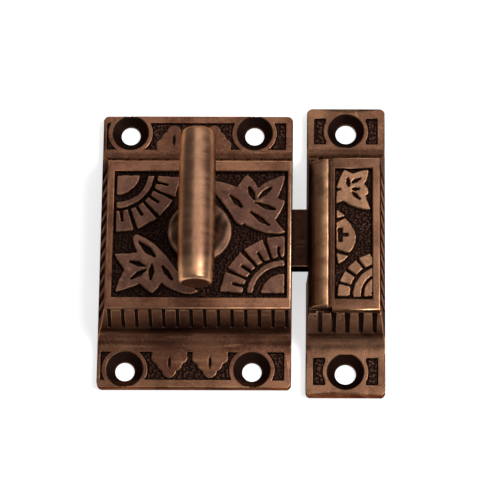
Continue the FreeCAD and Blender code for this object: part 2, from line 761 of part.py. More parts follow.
def make_bolt():
    """The bolt: a flat tongue with a notch for the cam, a tail that runs on the back plate and a spigot."""
    body = doc.addObject("PartDesign::Body", "bolt_tongue")
    plan = sketch_on(body, "bolt_plan", "XY_Plane", BOLT_BOTTOM)
    outline(plan, [
        ("-bolt_tail", "-bolt_half"),
        (BOLT_TIP, "-bolt_half"),
        (BOLT_TIP, "bolt_half"),
        ("bolt_notch_right", "bolt_half"),
        ("bolt_notch_right", "-bolt_rail_y"),
        ("-bolt_tail_front", "-bolt_rail_y"),
        ("-bolt_tail_front", "bolt_half"),
        ("-bolt_tail", "bolt_half"),
    ])
    body.Tip = pad(body, "tongue", plan, "bolt_thickness")
    tooth_block = doc.addObject("Part::Box", "bolt_tooth")
    bind(tooth_block, "Width", "bolt_half -bolt_tooth_y")
    bind(tooth_block, "Height", "bolt_thickness")
    reach = "sizes.cam_reach * sin(sizes.cam_half_swing * 1 deg) * 1 mm"
    tooth_block.setExpression("Length", f"{reach} + {formula('bolt_tail_front -cam_tip_radius -cam_play')}")
    place(tooth_block, "-bolt_tail_front", "bolt_tooth_y", BOLT_BOTTOM)
    tail = block("bolt_tail_block", "-bolt_tail", "-bolt_tail_front", "-bolt_half", "bolt_half",
                 "plate_thickness bolt_side_gap", BOLT_TOP)
    spigot = doc.addObject("Part::Cylinder", "bolt_spigot")
    bind(spigot, "Radius", "spigot_radius")
    bind(spigot, "Height", "spigot_length cut_margin")
    spigot.Placement.Rotation = FreeCAD.Rotation(FreeCAD.Vector(0, 1, 0), 90)
    place(spigot, "-bolt_tail -spigot_length", "", "spring_height")
    solid = fuse("bolt_solid", [body, tooth_block, tail, spigot])
    bevel = doc.addObject("PartDesign::Body", "bolt_bevel_cut")
    face = sketch_on(bevel, "bevel_side", "XZ_Plane")
    outline(face, [
        (BOLT_TIP + " -bolt_bevel", BOLT_BOTTOM),
        (BOLT_TIP + " -bolt_bevel", BOLT_BOTTOM + " -cut_margin"),
        (BOLT_TIP + " cut_margin", BOLT_BOTTOM + " -cut_margin"),
        (BOLT_TIP + " cut_margin", BOLT_TOP + " -bolt_nose"),
        (BOLT_TIP, BOLT_TOP + " -bolt_nose"),
    ])
    bevel.Tip = pad(bevel, "bevel_width", face, "bolt_half bolt_half cut_margin", symmetric=True)
    return cut("latch_bolt_node", solid, bevel)


def make_spring():
    """The coil spring, from the case wall to the bolt's tail."""
    coil = doc.addObject("Part::Helix", "coil_line")
    bind(coil, "Radius", "spring_radius")
    length = CAVITY_LEFT + " -bolt_tail -spring_seat -spring_seat -wire_radius -wire_radius"
    bind(coil, "Height", length)
    coil.setExpression("Pitch", f"({formula(length)}) / 4")
    coil.Placement.Rotation = FreeCAD.Rotation(FreeCAD.Vector(0, 1, 0), 90)
    start = negative(CAVITY_LEFT) + " spring_seat wire_radius"
    place(coil, start, "", "spring_height")
    wire = doc.addObject("Part::RegularPolygon", "coil_wire")
    wire.Polygon = 6
    bind(wire, "Circumradius", "wire_radius")
    wire.Placement.Rotation = FreeCAD.Rotation(FreeCAD.Vector(1, 0, 0), 90)
    place(wire, start, "", "spring_height -spring_radius")
    doc.recompute()
    spring = doc.addObject("Part::Sweep", "bolt_spring_node")
    spring.Sections = [wire]
    spring.Spine = (coil, [f"Edge{number}" for number in range(1, len(coil.Shape.Edges) + 1)])
    spring.Solid = True
    spring.Frenet = True
    return spring


def make_back_plate():
    """The sheet plate in the back of the case, and its four countersunk screws as one group."""
    sheet_block = block("plate_sheet", negative(PLATE_LEFT) + " plate_clearance", PLATE_RIGHT + " -plate_clearance",
                        negative(PLATE_HALF) + " plate_clearance", PLATE_HALF + " -plate_clearance",
                        "", "plate_thickness")
    holes = []
    screws = []
    for x_name, x in (("left", negative(PLATE_SCREW_LEFT)), ("right", PLATE_SCREW_RIGHT)):
        for y_name, y in (("low", negative(PLATE_SCREW_Y)), ("high", PLATE_SCREW_Y)):
            name = f"{x_name}_{y_name}"
            seat = "plate_head_radius tang_clearance"
            bore = "plate_screw_radius tang_clearance"
            holes.append(cone(f"plate_sink_{name}", seat, bore, x, y, "", "plate_thickness"))
            head = cone(f"plate_head_{name}", "plate_head_radius", "plate_screw_radius", x, y,
                        "", "plate_thickness")
            shank = rod(f"plate_shank_{name}", "plate_screw_radius", x, y, "", "plate_screw_length")
            slot = block(f"plate_slot_{name}", f"{x} -plate_head_radius", f"{x} plate_head_radius",
                         f"{y} -tang_clearance -tang_clearance -tang_clearance -tang_clearance",
                         f"{y} tang_clearance tang_clearance tang_clearance tang_clearance",
                         "-cut_margin", "driver_slot")
            screws.append(cut(f"plate_screw_{name}", fuse(f"plate_round_{name}", [head, shank]), slot))
    plate = cut("back_plate_node", sheet_block, fuse("plate_holes", holes))
    group = doc.addObject("Part::Compound", "back_plate_screws_node")
    group.Links = screws
    return plate, group


def make_keeper_casting():
    """The keeper's base: its end profile cut to the section of a lip and a sloping right side."""
    body = doc.addObject("PartDesign::Body", "keeper_length")
    side = sketch_on(body, "keeper_side", "YZ_Plane")
    outline(side, both_ends([
        (KEEPER_END, ""),
        (KEEPER_END, "keeper_ear"),
        (KEEPER_EAR_FOOT, "keeper_ear", "cove_radius"),
        (KEEPER_REED_FOOT, "keeper_ear cove_radius"),
        (KEEPER_REED_FOOT, KEEPER_REED_TOP + " -keeper_reed_drop"),
        ("keeper_panel_half keeper_reed_step", KEEPER_REED_TOP),
    ]))
    length = pad(body, "keeper_block", side, "keeper_half", "keeper_half")
    x_places = (-amount("keeper_half"), amount("keeper_half"))
    round_corners(body, "keeper_corners", length, x_places, amount(KEEPER_END))
    reeds = sketch_on(body, "keeper_reed", "YZ_Plane", "-keeper_half keeper_reed_left")
    for sign in ("", "-"):
        shape = [
            ("keeper_panel_half keeper_reed_step -reed_depth", KEEPER_REED_TOP),
            (KEEPER_REED_FOOT + " -reed_depth", KEEPER_REED_TOP + " -keeper_reed_drop"),
            (KEEPER_REED_FOOT + " cut_margin", KEEPER_REED_TOP + " -keeper_reed_drop"),
            ("keeper_panel_half keeper_reed_step cut_margin", KEEPER_REED_TOP),
        ]
        if sign:
            shape = [(negative(x), y) for x, y in shape]
        outline(reeds, shape)
    first_reed = pocket(body, "keeper_reed_cut", reeds, "reed_gap", symmetric=True)
    row_length = "keeper_half keeper_half -keeper_reed_left -keeper_reed_right"
    repeat(body, "keeper_reeds", first_reed, "X_Axis", row_length, 5)

    section = doc.addObject("PartDesign::Body", "keeper_section")
    front = sketch_on(section, "keeper_front", "XZ_Plane")
    outline(front, [
        ("-keeper_half", ""),
        ("keeper_half", ""),
        ("keeper_half", "keeper_ear"),
        ("keeper_panel_right", "keeper_panel_height"),
        ("-lip_right", "keeper_panel_height"),
        ("-lip_right", "lip_height", "-lip_radius"),
        ("-lip_left", "lip_height -lip_radius"),
        ("-keeper_half", "keeper_ear"),
    ])
    pad(section, "keeper_section_length", front, f"{KEEPER_END} {KEEPER_END}", symmetric=True)
    groove = sketch_on(section, "keeper_side_reed", "XZ_Plane", "keeper_panel_half -keeper_side_margin")
    outline(groove, [
        ("keeper_half cut_margin", "keeper_ear"),
        ("keeper_half cut_margin", KEEPER_REED_TOP),
        ("keeper_panel_right -side_reed_depth", KEEPER_REED_TOP),
        ("keeper_half -side_reed_depth", "keeper_ear"),
    ])
    first_side = pocket(section, "keeper_side_cut", groove, "reed_gap", symmetric=True)
    row_length = "keeper_panel_half keeper_panel_half -keeper_side_margin -keeper_side_margin"
    repeat(section, "keeper_side_reeds", first_side, "Y_Axis", row_length, 11)
    base = common("keeper_base", [body, section])

    lip = doc.addObject("PartDesign::Body", "keeper_lip")
    profile = sketch_on(lip, "lip_profile", "XZ_Plane")
    outline(profile, [
        ("-lip_left", "keeper_ear"),
        ("-lip_right", "keeper_ear"),
        ("-lip_right", "lip_height", "-lip_radius"),
        ("-lip_left", "lip_height -lip_radius"),
    ])
    lip.Tip = pad(lip, "lip_length", profile, f"{LIP_HALF} {LIP_HALF}", symmetric=True)

    slab = doc.addObject("PartDesign::Body", "keeper_panel")
    end = sketch_on(slab, "panel_section", "XZ_Plane")
    outline(end, [
        ("-keeper_panel_left", "keeper_ear"),
        ("keeper_panel_right", "keeper_ear"),
        ("keeper_panel_right", "keeper_panel_height"),
        ("-keeper_panel_left", "keeper_panel_height"),
    ])
    slab.Tip = pad(slab, "panel_length", end, "keeper_panel_half keeper_panel_half", symmetric=True)
    return fuse("keeper_solid", [base, lip, slab])


def make_keeper_relief():
    """A leaf, a notched half-round, two corner pieces and a fan, drawn for a field of 6.7 by 26 mm."""
    base = KEEPER_FLOOR + " -relief_root"
    rise = "relief_root relief_rise"
    wide = amount("keeper_field_left keeper_field_right") / 6.7
    tall = amount("keeper_panel_half keeper_panel_half -keeper_frame -keeper_frame") / 26.0
    centre = (6.9, -12.0)
    plain = [
        [
            (-0.3, 12.8), (1.2, 12.0, 0.1), (4.0, 12.75, 0.2), (3.3, 10.0), (4.0, 9.1), (4.0, 8.0), (3.45, 7.8),
            (4.35, 4.9, 0.35), (-0.6, 6.7), (-1.7, 6.1), (-1.65, 8.4, 0.1), (0.3, 8.9), (-1.65, 9.2, 0.15),
        ],
        slit((0.3, 11.3), (0.55, 9.4), 0.5),
        slit((2.65, 11.1), (1.0, 10.2), 0.5),
        slit((2.55, 9.0), (1.0, 8.95), 0.45),
        slit((2.55, 6.95), (1.1, 8.4), 0.5),
        [(-1.65, 4.75), (-0.2, 3.6), (-1.65, 3.1)],
        [
            (-1.65, 2.2), (-0.1, 3.0, 0.1), (1.5, 0.6, 0.25), (1.4, -2.5, 0.1), (0.7, -3.7, 0.1), (-1.65, -2.95),
        ],
        [
            (-1.3, 1.0), (-0.75, 1.0), (-0.75, 0.0), (0.3, 0.0), (0.3, -0.4), (-0.75, -0.4), (-0.75, -1.5),
            (-1.3, -1.5),
        ],
        [(-1.65, -4.0), (0.4, -4.6), (-1.3, -6.1)],
        sector(centre, 4.2, 5.5, 112.0, 186.0),
        sector(centre, 2.3, 3.6, 125.0, 188.0),
    ]
    for index in range(4):
        start = 107.5 + 20.0 * index
        plain.append(fan_block(centre, 6.3, 8.35, start, start + 15.0, 0.0, 0.6))
    return drawn("keeper_relief", plain, base, rise, wide, tall)


def make_keeper():
    """The keeper: casting, hollow with the bolt's mouth, sunk field with relief, holes and ear slots."""
    solid = make_keeper_casting()
    low = "-keeper_panel_half keeper_frame"
    high = "keeper_panel_half -keeper_frame"
    field = block("keeper_field", "-keeper_field_left", "keeper_field_right", low, high,
                  KEEPER_FLOOR, "keeper_panel_height cut_margin")
    cavity = block("keeper_cavity", "-lip_left keeper_wall", "keeper_panel_right -keeper_wall",
                   negative(KEEPER_CAVITY_HALF), KEEPER_CAVITY_HALF, "-cut_margin", KEEPER_CEILING)
    mouth = block("keeper_mouth", "-keeper_half -cut_margin", "-lip_right", "-bolt_half -mouth_gap",
                  "bolt_half mouth_gap", "-cut_margin", BOLT_TOP + " bolt_gap")
    hollow = cut("hollow_keeper", solid, fuse("keeper_hollows", [field, cavity, mouth]))
    room = block("keeper_field_room", "-keeper_field_left", "keeper_field_right", low, high,
                 KEEPER_FLOOR + " -relief_root", "keeper_panel_height")
    relief = common("keeper_relief_in_field", [make_keeper_relief(), room])
    full = fuse("full_keeper", [hollow, relief])
    holes = []
    slots = []
    lands = []
    for name, end in (("upper", str), ("lower", negative)):
        y = end(KEEPER_HOLE_Y)
        holes.append(rod(f"keeper_hole_{name}", "keeper_hole_radius", "", y, "-cut_margin", "keeper_ear"))
        holes.append(cone(f"keeper_sink_{name}", "keeper_hole_radius", "countersink_radius", "", y,
                          "keeper_ear -countersink_depth", "keeper_ear"))
        lands.append(rod(f"keeper_land_{name}", "ring_radius", "", y, "", "keeper_ear cut_margin"))
        slot_foot = KEEPER_EAR_FOOT + " keeper_slot_from_foot"
        near, far = sorted((end(slot_foot), end(slot_foot + " keeper_slot_length")), key=amount)
        for side, x_low, x_high in (
            ("left", "-keeper_slot_outer", "-keeper_slot_inner"),
            ("right", "keeper_slot_inner", "keeper_slot_outer"),
        ):
            slots.append(block(f"keeper_slot_{name}_{side}", x_low, x_high, near, far,
                               "keeper_ear -ear_recess_depth", "keeper_ear cut_margin"))
    holes.append(cut("keeper_slots", fuse("keeper_slot_blocks", slots), fuse("keeper_lands", lands)))
    keeper = cut("keeper_local", full, fuse("keeper_holes", holes))
    placed = doc.addObject("Part::Compound", "keeper_node")
    placed.Links = [keeper]
    bind(placed, "Placement.Base.x", KEEPER_X)
    return placed


case = make_case()
handle = make_handle()
cam = make_cam()
cam_washer, cam_screw = make_cam_fixings()
bolt = make_bolt()
spring = make_spring()
back_plate, back_plate_screws = make_back_plate()
keeper = make_keeper()
PIECES = {
    "case": case,
    "turn_handle": handle,
    "cam": cam,
    "cam_washer": cam_washer,
    "cam_screw": cam_screw,
    "latch_bolt": bolt,
    "bolt_spring": spring,
    "back_plate": back_plate,
    "back_plate_screws": back_plate_screws,
    "keeper": keeper,
}
for label, piece in PIECES.items():
    piece.Label = label
doc.recompute()

for item in doc.Objects:
    if "Invalid" in item.State or "Error" in item.State:
        raise RuntimeError(f"{item.Name} did not build: {item.State}")
os.makedirs("parts", exist_ok=True)
for label, piece in PIECES.items():
    if piece.Shape.isNull() or not piece.Shape.isValid():
        raise RuntimeError(f"{label} has no valid shape")
    piece.Shape.exportStep(f"parts/{label}.step")
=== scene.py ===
import math

import bmesh
import bpy
import numpy as np
from mathutils import Matrix, Vector
from mathutils.bvhtree import BVHTree


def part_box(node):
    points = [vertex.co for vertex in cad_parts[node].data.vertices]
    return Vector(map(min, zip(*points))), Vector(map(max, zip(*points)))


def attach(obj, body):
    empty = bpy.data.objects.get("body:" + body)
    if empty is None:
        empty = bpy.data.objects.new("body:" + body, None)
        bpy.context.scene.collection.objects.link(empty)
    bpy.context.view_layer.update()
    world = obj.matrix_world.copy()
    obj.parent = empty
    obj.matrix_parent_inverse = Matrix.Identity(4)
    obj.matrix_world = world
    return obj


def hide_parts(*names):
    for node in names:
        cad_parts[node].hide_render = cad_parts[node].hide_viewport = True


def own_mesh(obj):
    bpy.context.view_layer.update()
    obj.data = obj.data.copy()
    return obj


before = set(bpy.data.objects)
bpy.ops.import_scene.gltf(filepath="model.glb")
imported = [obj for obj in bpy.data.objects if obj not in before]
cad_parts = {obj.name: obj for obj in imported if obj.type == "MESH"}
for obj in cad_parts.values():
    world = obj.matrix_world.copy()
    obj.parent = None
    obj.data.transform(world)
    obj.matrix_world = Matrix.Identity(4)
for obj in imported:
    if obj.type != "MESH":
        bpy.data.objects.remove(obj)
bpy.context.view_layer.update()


# Case. A hollow brass casting with two ears, coves, reeded slopes and a raised panel whose sunk field
# carries ivy leaves and fans. It was bronzed dark all over, then rubbed back, so the high parts and
# edges show warm metal and the punched ground stays nearly black. Four wood screws hold it to the door.
MM = 0.001
# BLACKENED and SOOT_BROWN are the bronzing kept in hollows, and where a hook marks it they also give painted
# shade. RUBBED_EDGE is the rubbed brass of worn edges, and where a hook marks it, also a painted highlight.
BLACKENED = (0.006, 0.0030, 0.0026, 1.0)
SOOT_BROWN = (0.034, 0.0160, 0.0120, 1.0)
RUBBED_EDGE = (0.80, 0.43, 0.23, 1.0)
EDGE_TINT = (0.25, 0.18, 0.14, 1.0)
EVENLY = (1.0, 1.0, 1.0)


def tree_of(name):
    """A new material with its node tree emptied down to the shader and the output."""
    material = bpy.data.materials.new(name)
    material.use_nodes = True
    tree = material.node_tree
    tree.nodes.clear()
    output = tree.nodes.new("ShaderNodeOutputMaterial")
    shader = tree.nodes.new("ShaderNodeBsdfPrincipled")
    tree.links.new(shader.outputs["BSDF"], output.inputs["Surface"])
    return material, tree, shader


def grain(tree, stretch, scale, detail=3.0, rough=0.55):
    """Noise over object coordinates, drawn out by stretch along X, Y and Z."""
    place = tree.nodes.new("ShaderNodeTexCoord")
    mapping = tree.nodes.new("ShaderNodeMapping")
    mapping.inputs["Scale"].default_value = stretch
    noise = tree.nodes.new("ShaderNodeTexNoise")
    noise.inputs["Scale"].default_value = scale
    noise.inputs["Detail"].default_value = detail
    noise.inputs["Roughness"].default_value = rough
    tree.links.new(place.outputs["Object"], mapping.inputs["Vector"])
    tree.links.new(mapping.outputs["Vector"], noise.inputs["Vector"])
    return noise.outputs["Fac"]


def ramp(tree, source, low, high, start=0.0, end=1.0):
    """Carry a value from low..high to start..end, held at both ends."""
    node = tree.nodes.new("ShaderNodeMapRange")
    node.interpolation_type = "SMOOTHSTEP"
    node.inputs["From Min"].default_value = low
    node.inputs["From Max"].default_value = high
    node.inputs["To Min"].default_value = start
    node.inputs["To Max"].default_value = end
    tree.links.new(source, node.inputs["Value"])
    return node.outputs["Result"]


def combined(tree, operation, first, second):
    """One arithmetic step between two values, either of which may be a plain number."""
    node = tree.nodes.new("ShaderNodeMath")
    node.operation = operation
    for socket, value in zip(node.inputs, (first, second)):
        if isinstance(value, (int, float)):
            socket.default_value = value
        else:
            tree.links.new(value, socket)
    return node.outputs["Value"]


def blended(tree, share, first, second):
    """Two colours mixed by a share. Each colour is a socket or a plain colour."""
    node = tree.nodes.new("ShaderNodeMix")
    node.data_type = "RGBA"
    tree.links.new(share, node.inputs["Factor"])
    for socket, value in ((node.inputs[6], first), (node.inputs[7], second)):
        if isinstance(value, tuple):
            socket.default_value = value
        else:
            tree.links.new(value, socket)
    return node.outputs[2]


def noted(tree, name):
    """An amount noted on a mesh's points: the black kept in the ground, with some painted shade, or edge
    wear, with some painted highlight.
    """
    node = tree.nodes.new("ShaderNodeAttribute")
    node.attribute_name = name
    return node.outputs["Fac"]


def bumpy(tree, shader, relief, strength, depth):
    """Raise the shader's surface by a value, as deep as depth in millimetres."""
    bump = tree.nodes.new("ShaderNodeBump")
    bump.inputs["Strength"].default_value = strength
    bump.inputs["Distance"].default_value = depth * MM
    tree.links.new(relief, bump.inputs["Height"])
    tree.links.new(bump.outputs["Normal"], shader.inputs["Normal"])


def bronzed_brass(name, dull, rubbed, brush, shine, glint=1.0, shade=(1.3, 0.66, 0.97), speckled=0.30):
    """Bronzed cast brass: black in the hollows, dull to rubbed on the open faces, bright on worn edges.

    brush draws out the rubbing marks, shine is the roughness of a rubbed face, glint the edges' wear.
    shade is how far a wall shades what is beside it, the openness up to which it is black and the openness
    from which no black is left. speckled is how strongly the fine grains, the streaks and the bumps show.
    """
    shade_reach, shade_black, shade_open = shade
    material, tree, shader = tree_of(name)
    hollow = tree.nodes.new("ShaderNodeAmbientOcclusion")
    hollow.samples = 8
    hollow.inputs["Distance"].default_value = shade_reach * MM
    openness = hollow.outputs["AO"]
    # The sunk amount is mostly the bronzing kept in the ground, and in a few places painted shade.
    clear_of_black_and_shade = ramp(tree, noted(tree, "sunk"), 0.05, 0.8, 1.0, 0.0)
    open_air = combined(tree, "MULTIPLY", ramp(tree, openness, shade_black, shade_open), clear_of_black_and_shade)

    clouds = grain(tree, EVENLY, 300.0, 4.0)
    least_wear = 0.38 * glint
    # The worn edges' amount includes a painted highlight in a few places.
    edge = combined(tree, "MULTIPLY", noted(tree, "wear_and_highlight"), ramp(tree, clouds, 0.38, 0.60, least_wear, glint))
    edge = combined(tree, "MULTIPLY", edge, ramp(tree, openness, 0.25, 0.60))

    marks = grain(tree, brush, 620.0, 5.0, 0.7)
    mottle = grain(tree, EVENLY, 95.0, 5.0, 0.62)
    speckle = grain(tree, EVENLY, 2600.0, 2.0)
    worn = combined(tree, "ADD", ramp(tree, mottle, 0.33, 0.68), ramp(tree, marks, 0.28, 0.72, -0.22, 0.22))
    worn = combined(tree, "ADD", worn, ramp(tree, speckle, 0.25, 0.75, -speckled, speckled))
    flat = blended(tree, ramp(tree, worn, -0.1, 1.1), dull, rubbed)
    brightest_streak = speckled * min(glint, 1.0) ** 2
    flat = blended(tree, ramp(tree, marks, 0.58, 0.74, 0.0, brightest_streak), flat, RUBBED_EDGE)
    hidden = blended(tree, ramp(tree, openness, 0.35, 0.95), BLACKENED, SOOT_BROWN)
    skin = blended(tree, open_air, hidden, flat)
    tree.links.new(blended(tree, edge, skin, RUBBED_EDGE), shader.inputs["Base Color"])

    matt = ramp(tree, open_air, 0.0, 1.0, shine + 0.20, shine)
    matt = combined(tree, "ADD", matt, ramp(tree, marks, 0.3, 0.7, -0.07, 0.09))
    tree.links.new(matt, shader.inputs["Roughness"])
    shader.inputs["Metallic"].default_value = 1.0
    shader.inputs["Specular Tint"].default_value = EDGE_TINT

    pits = combined(tree, "MULTIPLY", grain(tree, EVENLY, 1500.0, 3.0), 0.45)
    scratches = combined(tree, "MULTIPLY", marks, 0.7)
    bumpy(tree, shader, combined(tree, "ADD", scratches, pits), speckled, 0.12)
    return material


def probe(node_name):
    """A tree that finds where a ray meets a CAD node."""
    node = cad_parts[node_name]
    graph = bmesh.new()
    graph.from_mesh(node.data)
    graph.transform(node.matrix_world)
    found = BVHTree.FromBMesh(graph)
    graph.free()
    return found


def soften(heights, passes):
    """Round a height map off, the way a sand casting loses its sharp corners."""
    for _ in range(passes):
        edged = np.pad(heights, 1, mode="edge")
        rows = (edged[:-2] + 2.0 * edged[1:-1] + edged[2:]) / 4.0
        heights = (rows[:, :-2] + 2.0 * rows[:, 1:-1] + rows[:, 2:]) / 4.0
    return heights


def waves(x, y, length, seed):
    """Slow smooth wandering, mostly between -1 and 1, for hand work that is never quite true."""
    draw = np.random.default_rng(seed)
    total = np.zeros_like(x)
    for share in (1.0, 0.6, 0.4):
        angle = draw.uniform(0.0, math.tau, 3)
        phase = draw.uniform(0.0, math.tau, 3)
        for turn, start in zip(angle, phase):
            total += np.sin((x * math.cos(turn) + y * math.sin(turn)) * math.tau / (length * share) + start)
    return total / 6.0


def punched(x, y, pitch, seed):
    """The punched ground: a crowd of small round grains, 1 on top of a grain and 0 between them."""
    draw = np.random.default_rng(seed)
    column = np.floor(x / pitch).astype(int)
    row = np.floor(y / pitch).astype(int)
    wide = column.max() - column.min() + 5
    tall = row.max() - row.min() + 5
    jitter = draw.uniform(0.12, 0.88, (wide, tall, 2))
    reach = draw.uniform(0.42, 0.66, (wide, tall))
    top = np.zeros_like(x)
    for step_x in (-1, 0, 1):
        for step_y in (-1, 0, 1):
            i = column - column.min() + 2 + step_x
            j = row - row.min() + 2 + step_y
            centre_x = (column + step_x + jitter[i, j, 0]) * pitch
            centre_y = (row + step_y + jitter[i, j, 1]) * pitch
            away = np.hypot(x - centre_x, y - centre_y) / (reach[i, j] * pitch)
            top = np.maximum(top, np.sqrt(np.clip(1.0 - away * away, 0.0, 1.0)))
    return top


def spread_out(mask, steps):
    """Let a marked patch of a grid grow by some cells on every side."""
    for _ in range(steps):
        edged = np.pad(mask, 1, mode="edge")
        mask = edged[1:-1, 1:-1] | edged[:-2, 1:-1] | edged[2:, 1:-1] | edged[1:-1, :-2] | edged[1:-1, 2:]
    return mask


def mark(mesh, name, amounts):
    """Note an amount on each point for the finish to read: the black kept in the ground, with some painted
    shade, or edge wear, with some painted highlight.
    """
    layer = mesh.attributes.new(name, "FLOAT", "POINT")
    layer.data.foreach_set("value", np.asarray(amounts, dtype=np.float32))


def placed(name, data):
    """A new object made of a mesh, lamp or lens, put into the scene."""
    piece = bpy.data.objects.new(name, data)
    bpy.context.collection.objects.link(piece)
    return piece


def smooth(mesh):
    """Shade a whole mesh smoothly."""
    mesh.polygons.foreach_set("use_smooth", [True] * len(mesh.polygons))


def grid_over(x_span, y_span, pitch):
    """The x and y of a grid's points, in millimetres, about pitch apart."""
    columns = int(round((x_span[1] - x_span[0]) / pitch)) + 1
    rows = int(round((y_span[1] - y_span[0]) / pitch)) + 1
    return np.meshgrid(np.linspace(*x_span, columns), np.linspace(*y_span, rows), indexing="ij")


def front_height(seen, x, y):
    """How high a CAD front stands at each point, in millimetres, or nothing where a hole goes through."""
    sky = 14.0
    heights = np.full(x.shape, np.nan)
    for i, j in np.ndindex(x.shape):
        start = Vector((x[i, j] * MM, y[i, j] * MM, sky * MM))
        hit = seen.ray_cast(start, Vector((0.0, 0.0, -1.0)))[0]
        if hit:
            heights[i, j] = hit.z / MM
    return heights


def grid_skin(name, x, y, z, shown=None):
    """A mesh over a grid of points, of all its squares or of those whose four corners are shown."""
    vertices = np.stack([x, y, z], axis=-1).reshape(-1, 3) * MM
    number = np.arange(x.size).reshape(x.shape)
    faces = np.stack([number[:-1, :-1], number[1:, :-1], number[1:, 1:], number[:-1, 1:]], axis=-1)
    if shown is None:
        faces = faces.reshape(-1, 4)
    else:
        faces = faces[shown[:-1, :-1] & shown[1:, :-1] & shown[1:, 1:] & shown[:-1, 1:]]
    mesh = bpy.data.meshes.new(name)
    mesh.from_pydata(vertices.tolist(), [], faces.tolist())
    return mesh


def ground_left(bank):
    """How much of the blackened ground is left on a relief's bank: 1 on the ground, 0 on top."""
    return 1.0 - np.clip((bank - 0.45) / 0.4, 0.0, 1.0)


def worn_rim(top, bank, passes):
    """Where a relief's upper edge is rubbed bright: close inside the outline, and only on top."""
    near_edge = np.clip(1.9 * (1.0 - soften(top, passes)) - 0.1, 0.0, 1.0)
    return near_edge * np.clip((bank - 0.6) / 0.3, 0.0, 1.0)


def cast_field(name, seen, x_span, y_span, floor, pitch, grain_rise, seed):
    """A sunk field as one skin: its relief is read off the CAD front, worn soft, over a punched ground."""
    x, y = grid_over(x_span, y_span, pitch)
    wander, wander_length, inset = 0.07, 2.6, 0.06
    bent_x = x + wander * waves(x, y, wander_length, seed)
    bent_y = y + wander * waves(x, y, wander_length, seed + 1)
    bent_x = np.clip(bent_x, x_span[0] + inset, x_span[1] - inset)
    bent_y = np.clip(bent_y, y_span[0] + inset, y_span[1] - inset)
    relief_level, relief_most, grain_pitch = 0.3, 0.8, 0.62
    raised = np.clip(np.nan_to_num(front_height(seen, bent_x, bent_y) - floor), 0.0, relief_most)

    # Ground that can't be reached from the border is a slit in the relief. It stays open as outlines spread.
    top = raised > relief_level
    outside = np.zeros_like(top)
    outside[0], outside[-1], outside[:, 0], outside[:, -1] = ~top[0], ~top[-1], ~top[:, 0], ~top[:, -1]
    size = 0
    while outside.sum() > size:
        size = outside.sum()
        outside = spread_out(outside, 1) & ~top
    slits = spread_out(~top & ~outside, 1)
    top = (spread_out(top, 2) & ~slits).astype(float)

    bank = soften(top, 2)
    ground = ground_left(bank)
    # The punch leaves a smoother channel round the relief.
    channel = np.clip(soften(top, 14) * 4.0, 0.0, 1.0)
    grains = punched(x, y, grain_pitch, seed + 3) * ground * (1.0 - 0.85 * channel)
    rise = np.max(raised[top > 0.5])
    uneven = 0.035 * np.clip(waves(x, y, 5.0, seed + 2), -1.0, 1.0)
    shape = rise * bank - uneven * (1.0 - ground)
    shape = np.maximum(shape, soften(raised, 2) * (raised > rise + 0.05))
    shape += grain_rise * grains

    mesh = grid_skin(name, x, y, floor + shape)
    smooth(mesh)
    mark(mesh, "sunk", (ground * (1.0 - 0.42 * grains ** 2)).reshape(-1))
    mark(mesh, "wear_and_highlight", worn_rim(top, bank, 10).reshape(-1))
    return placed(name, mesh)


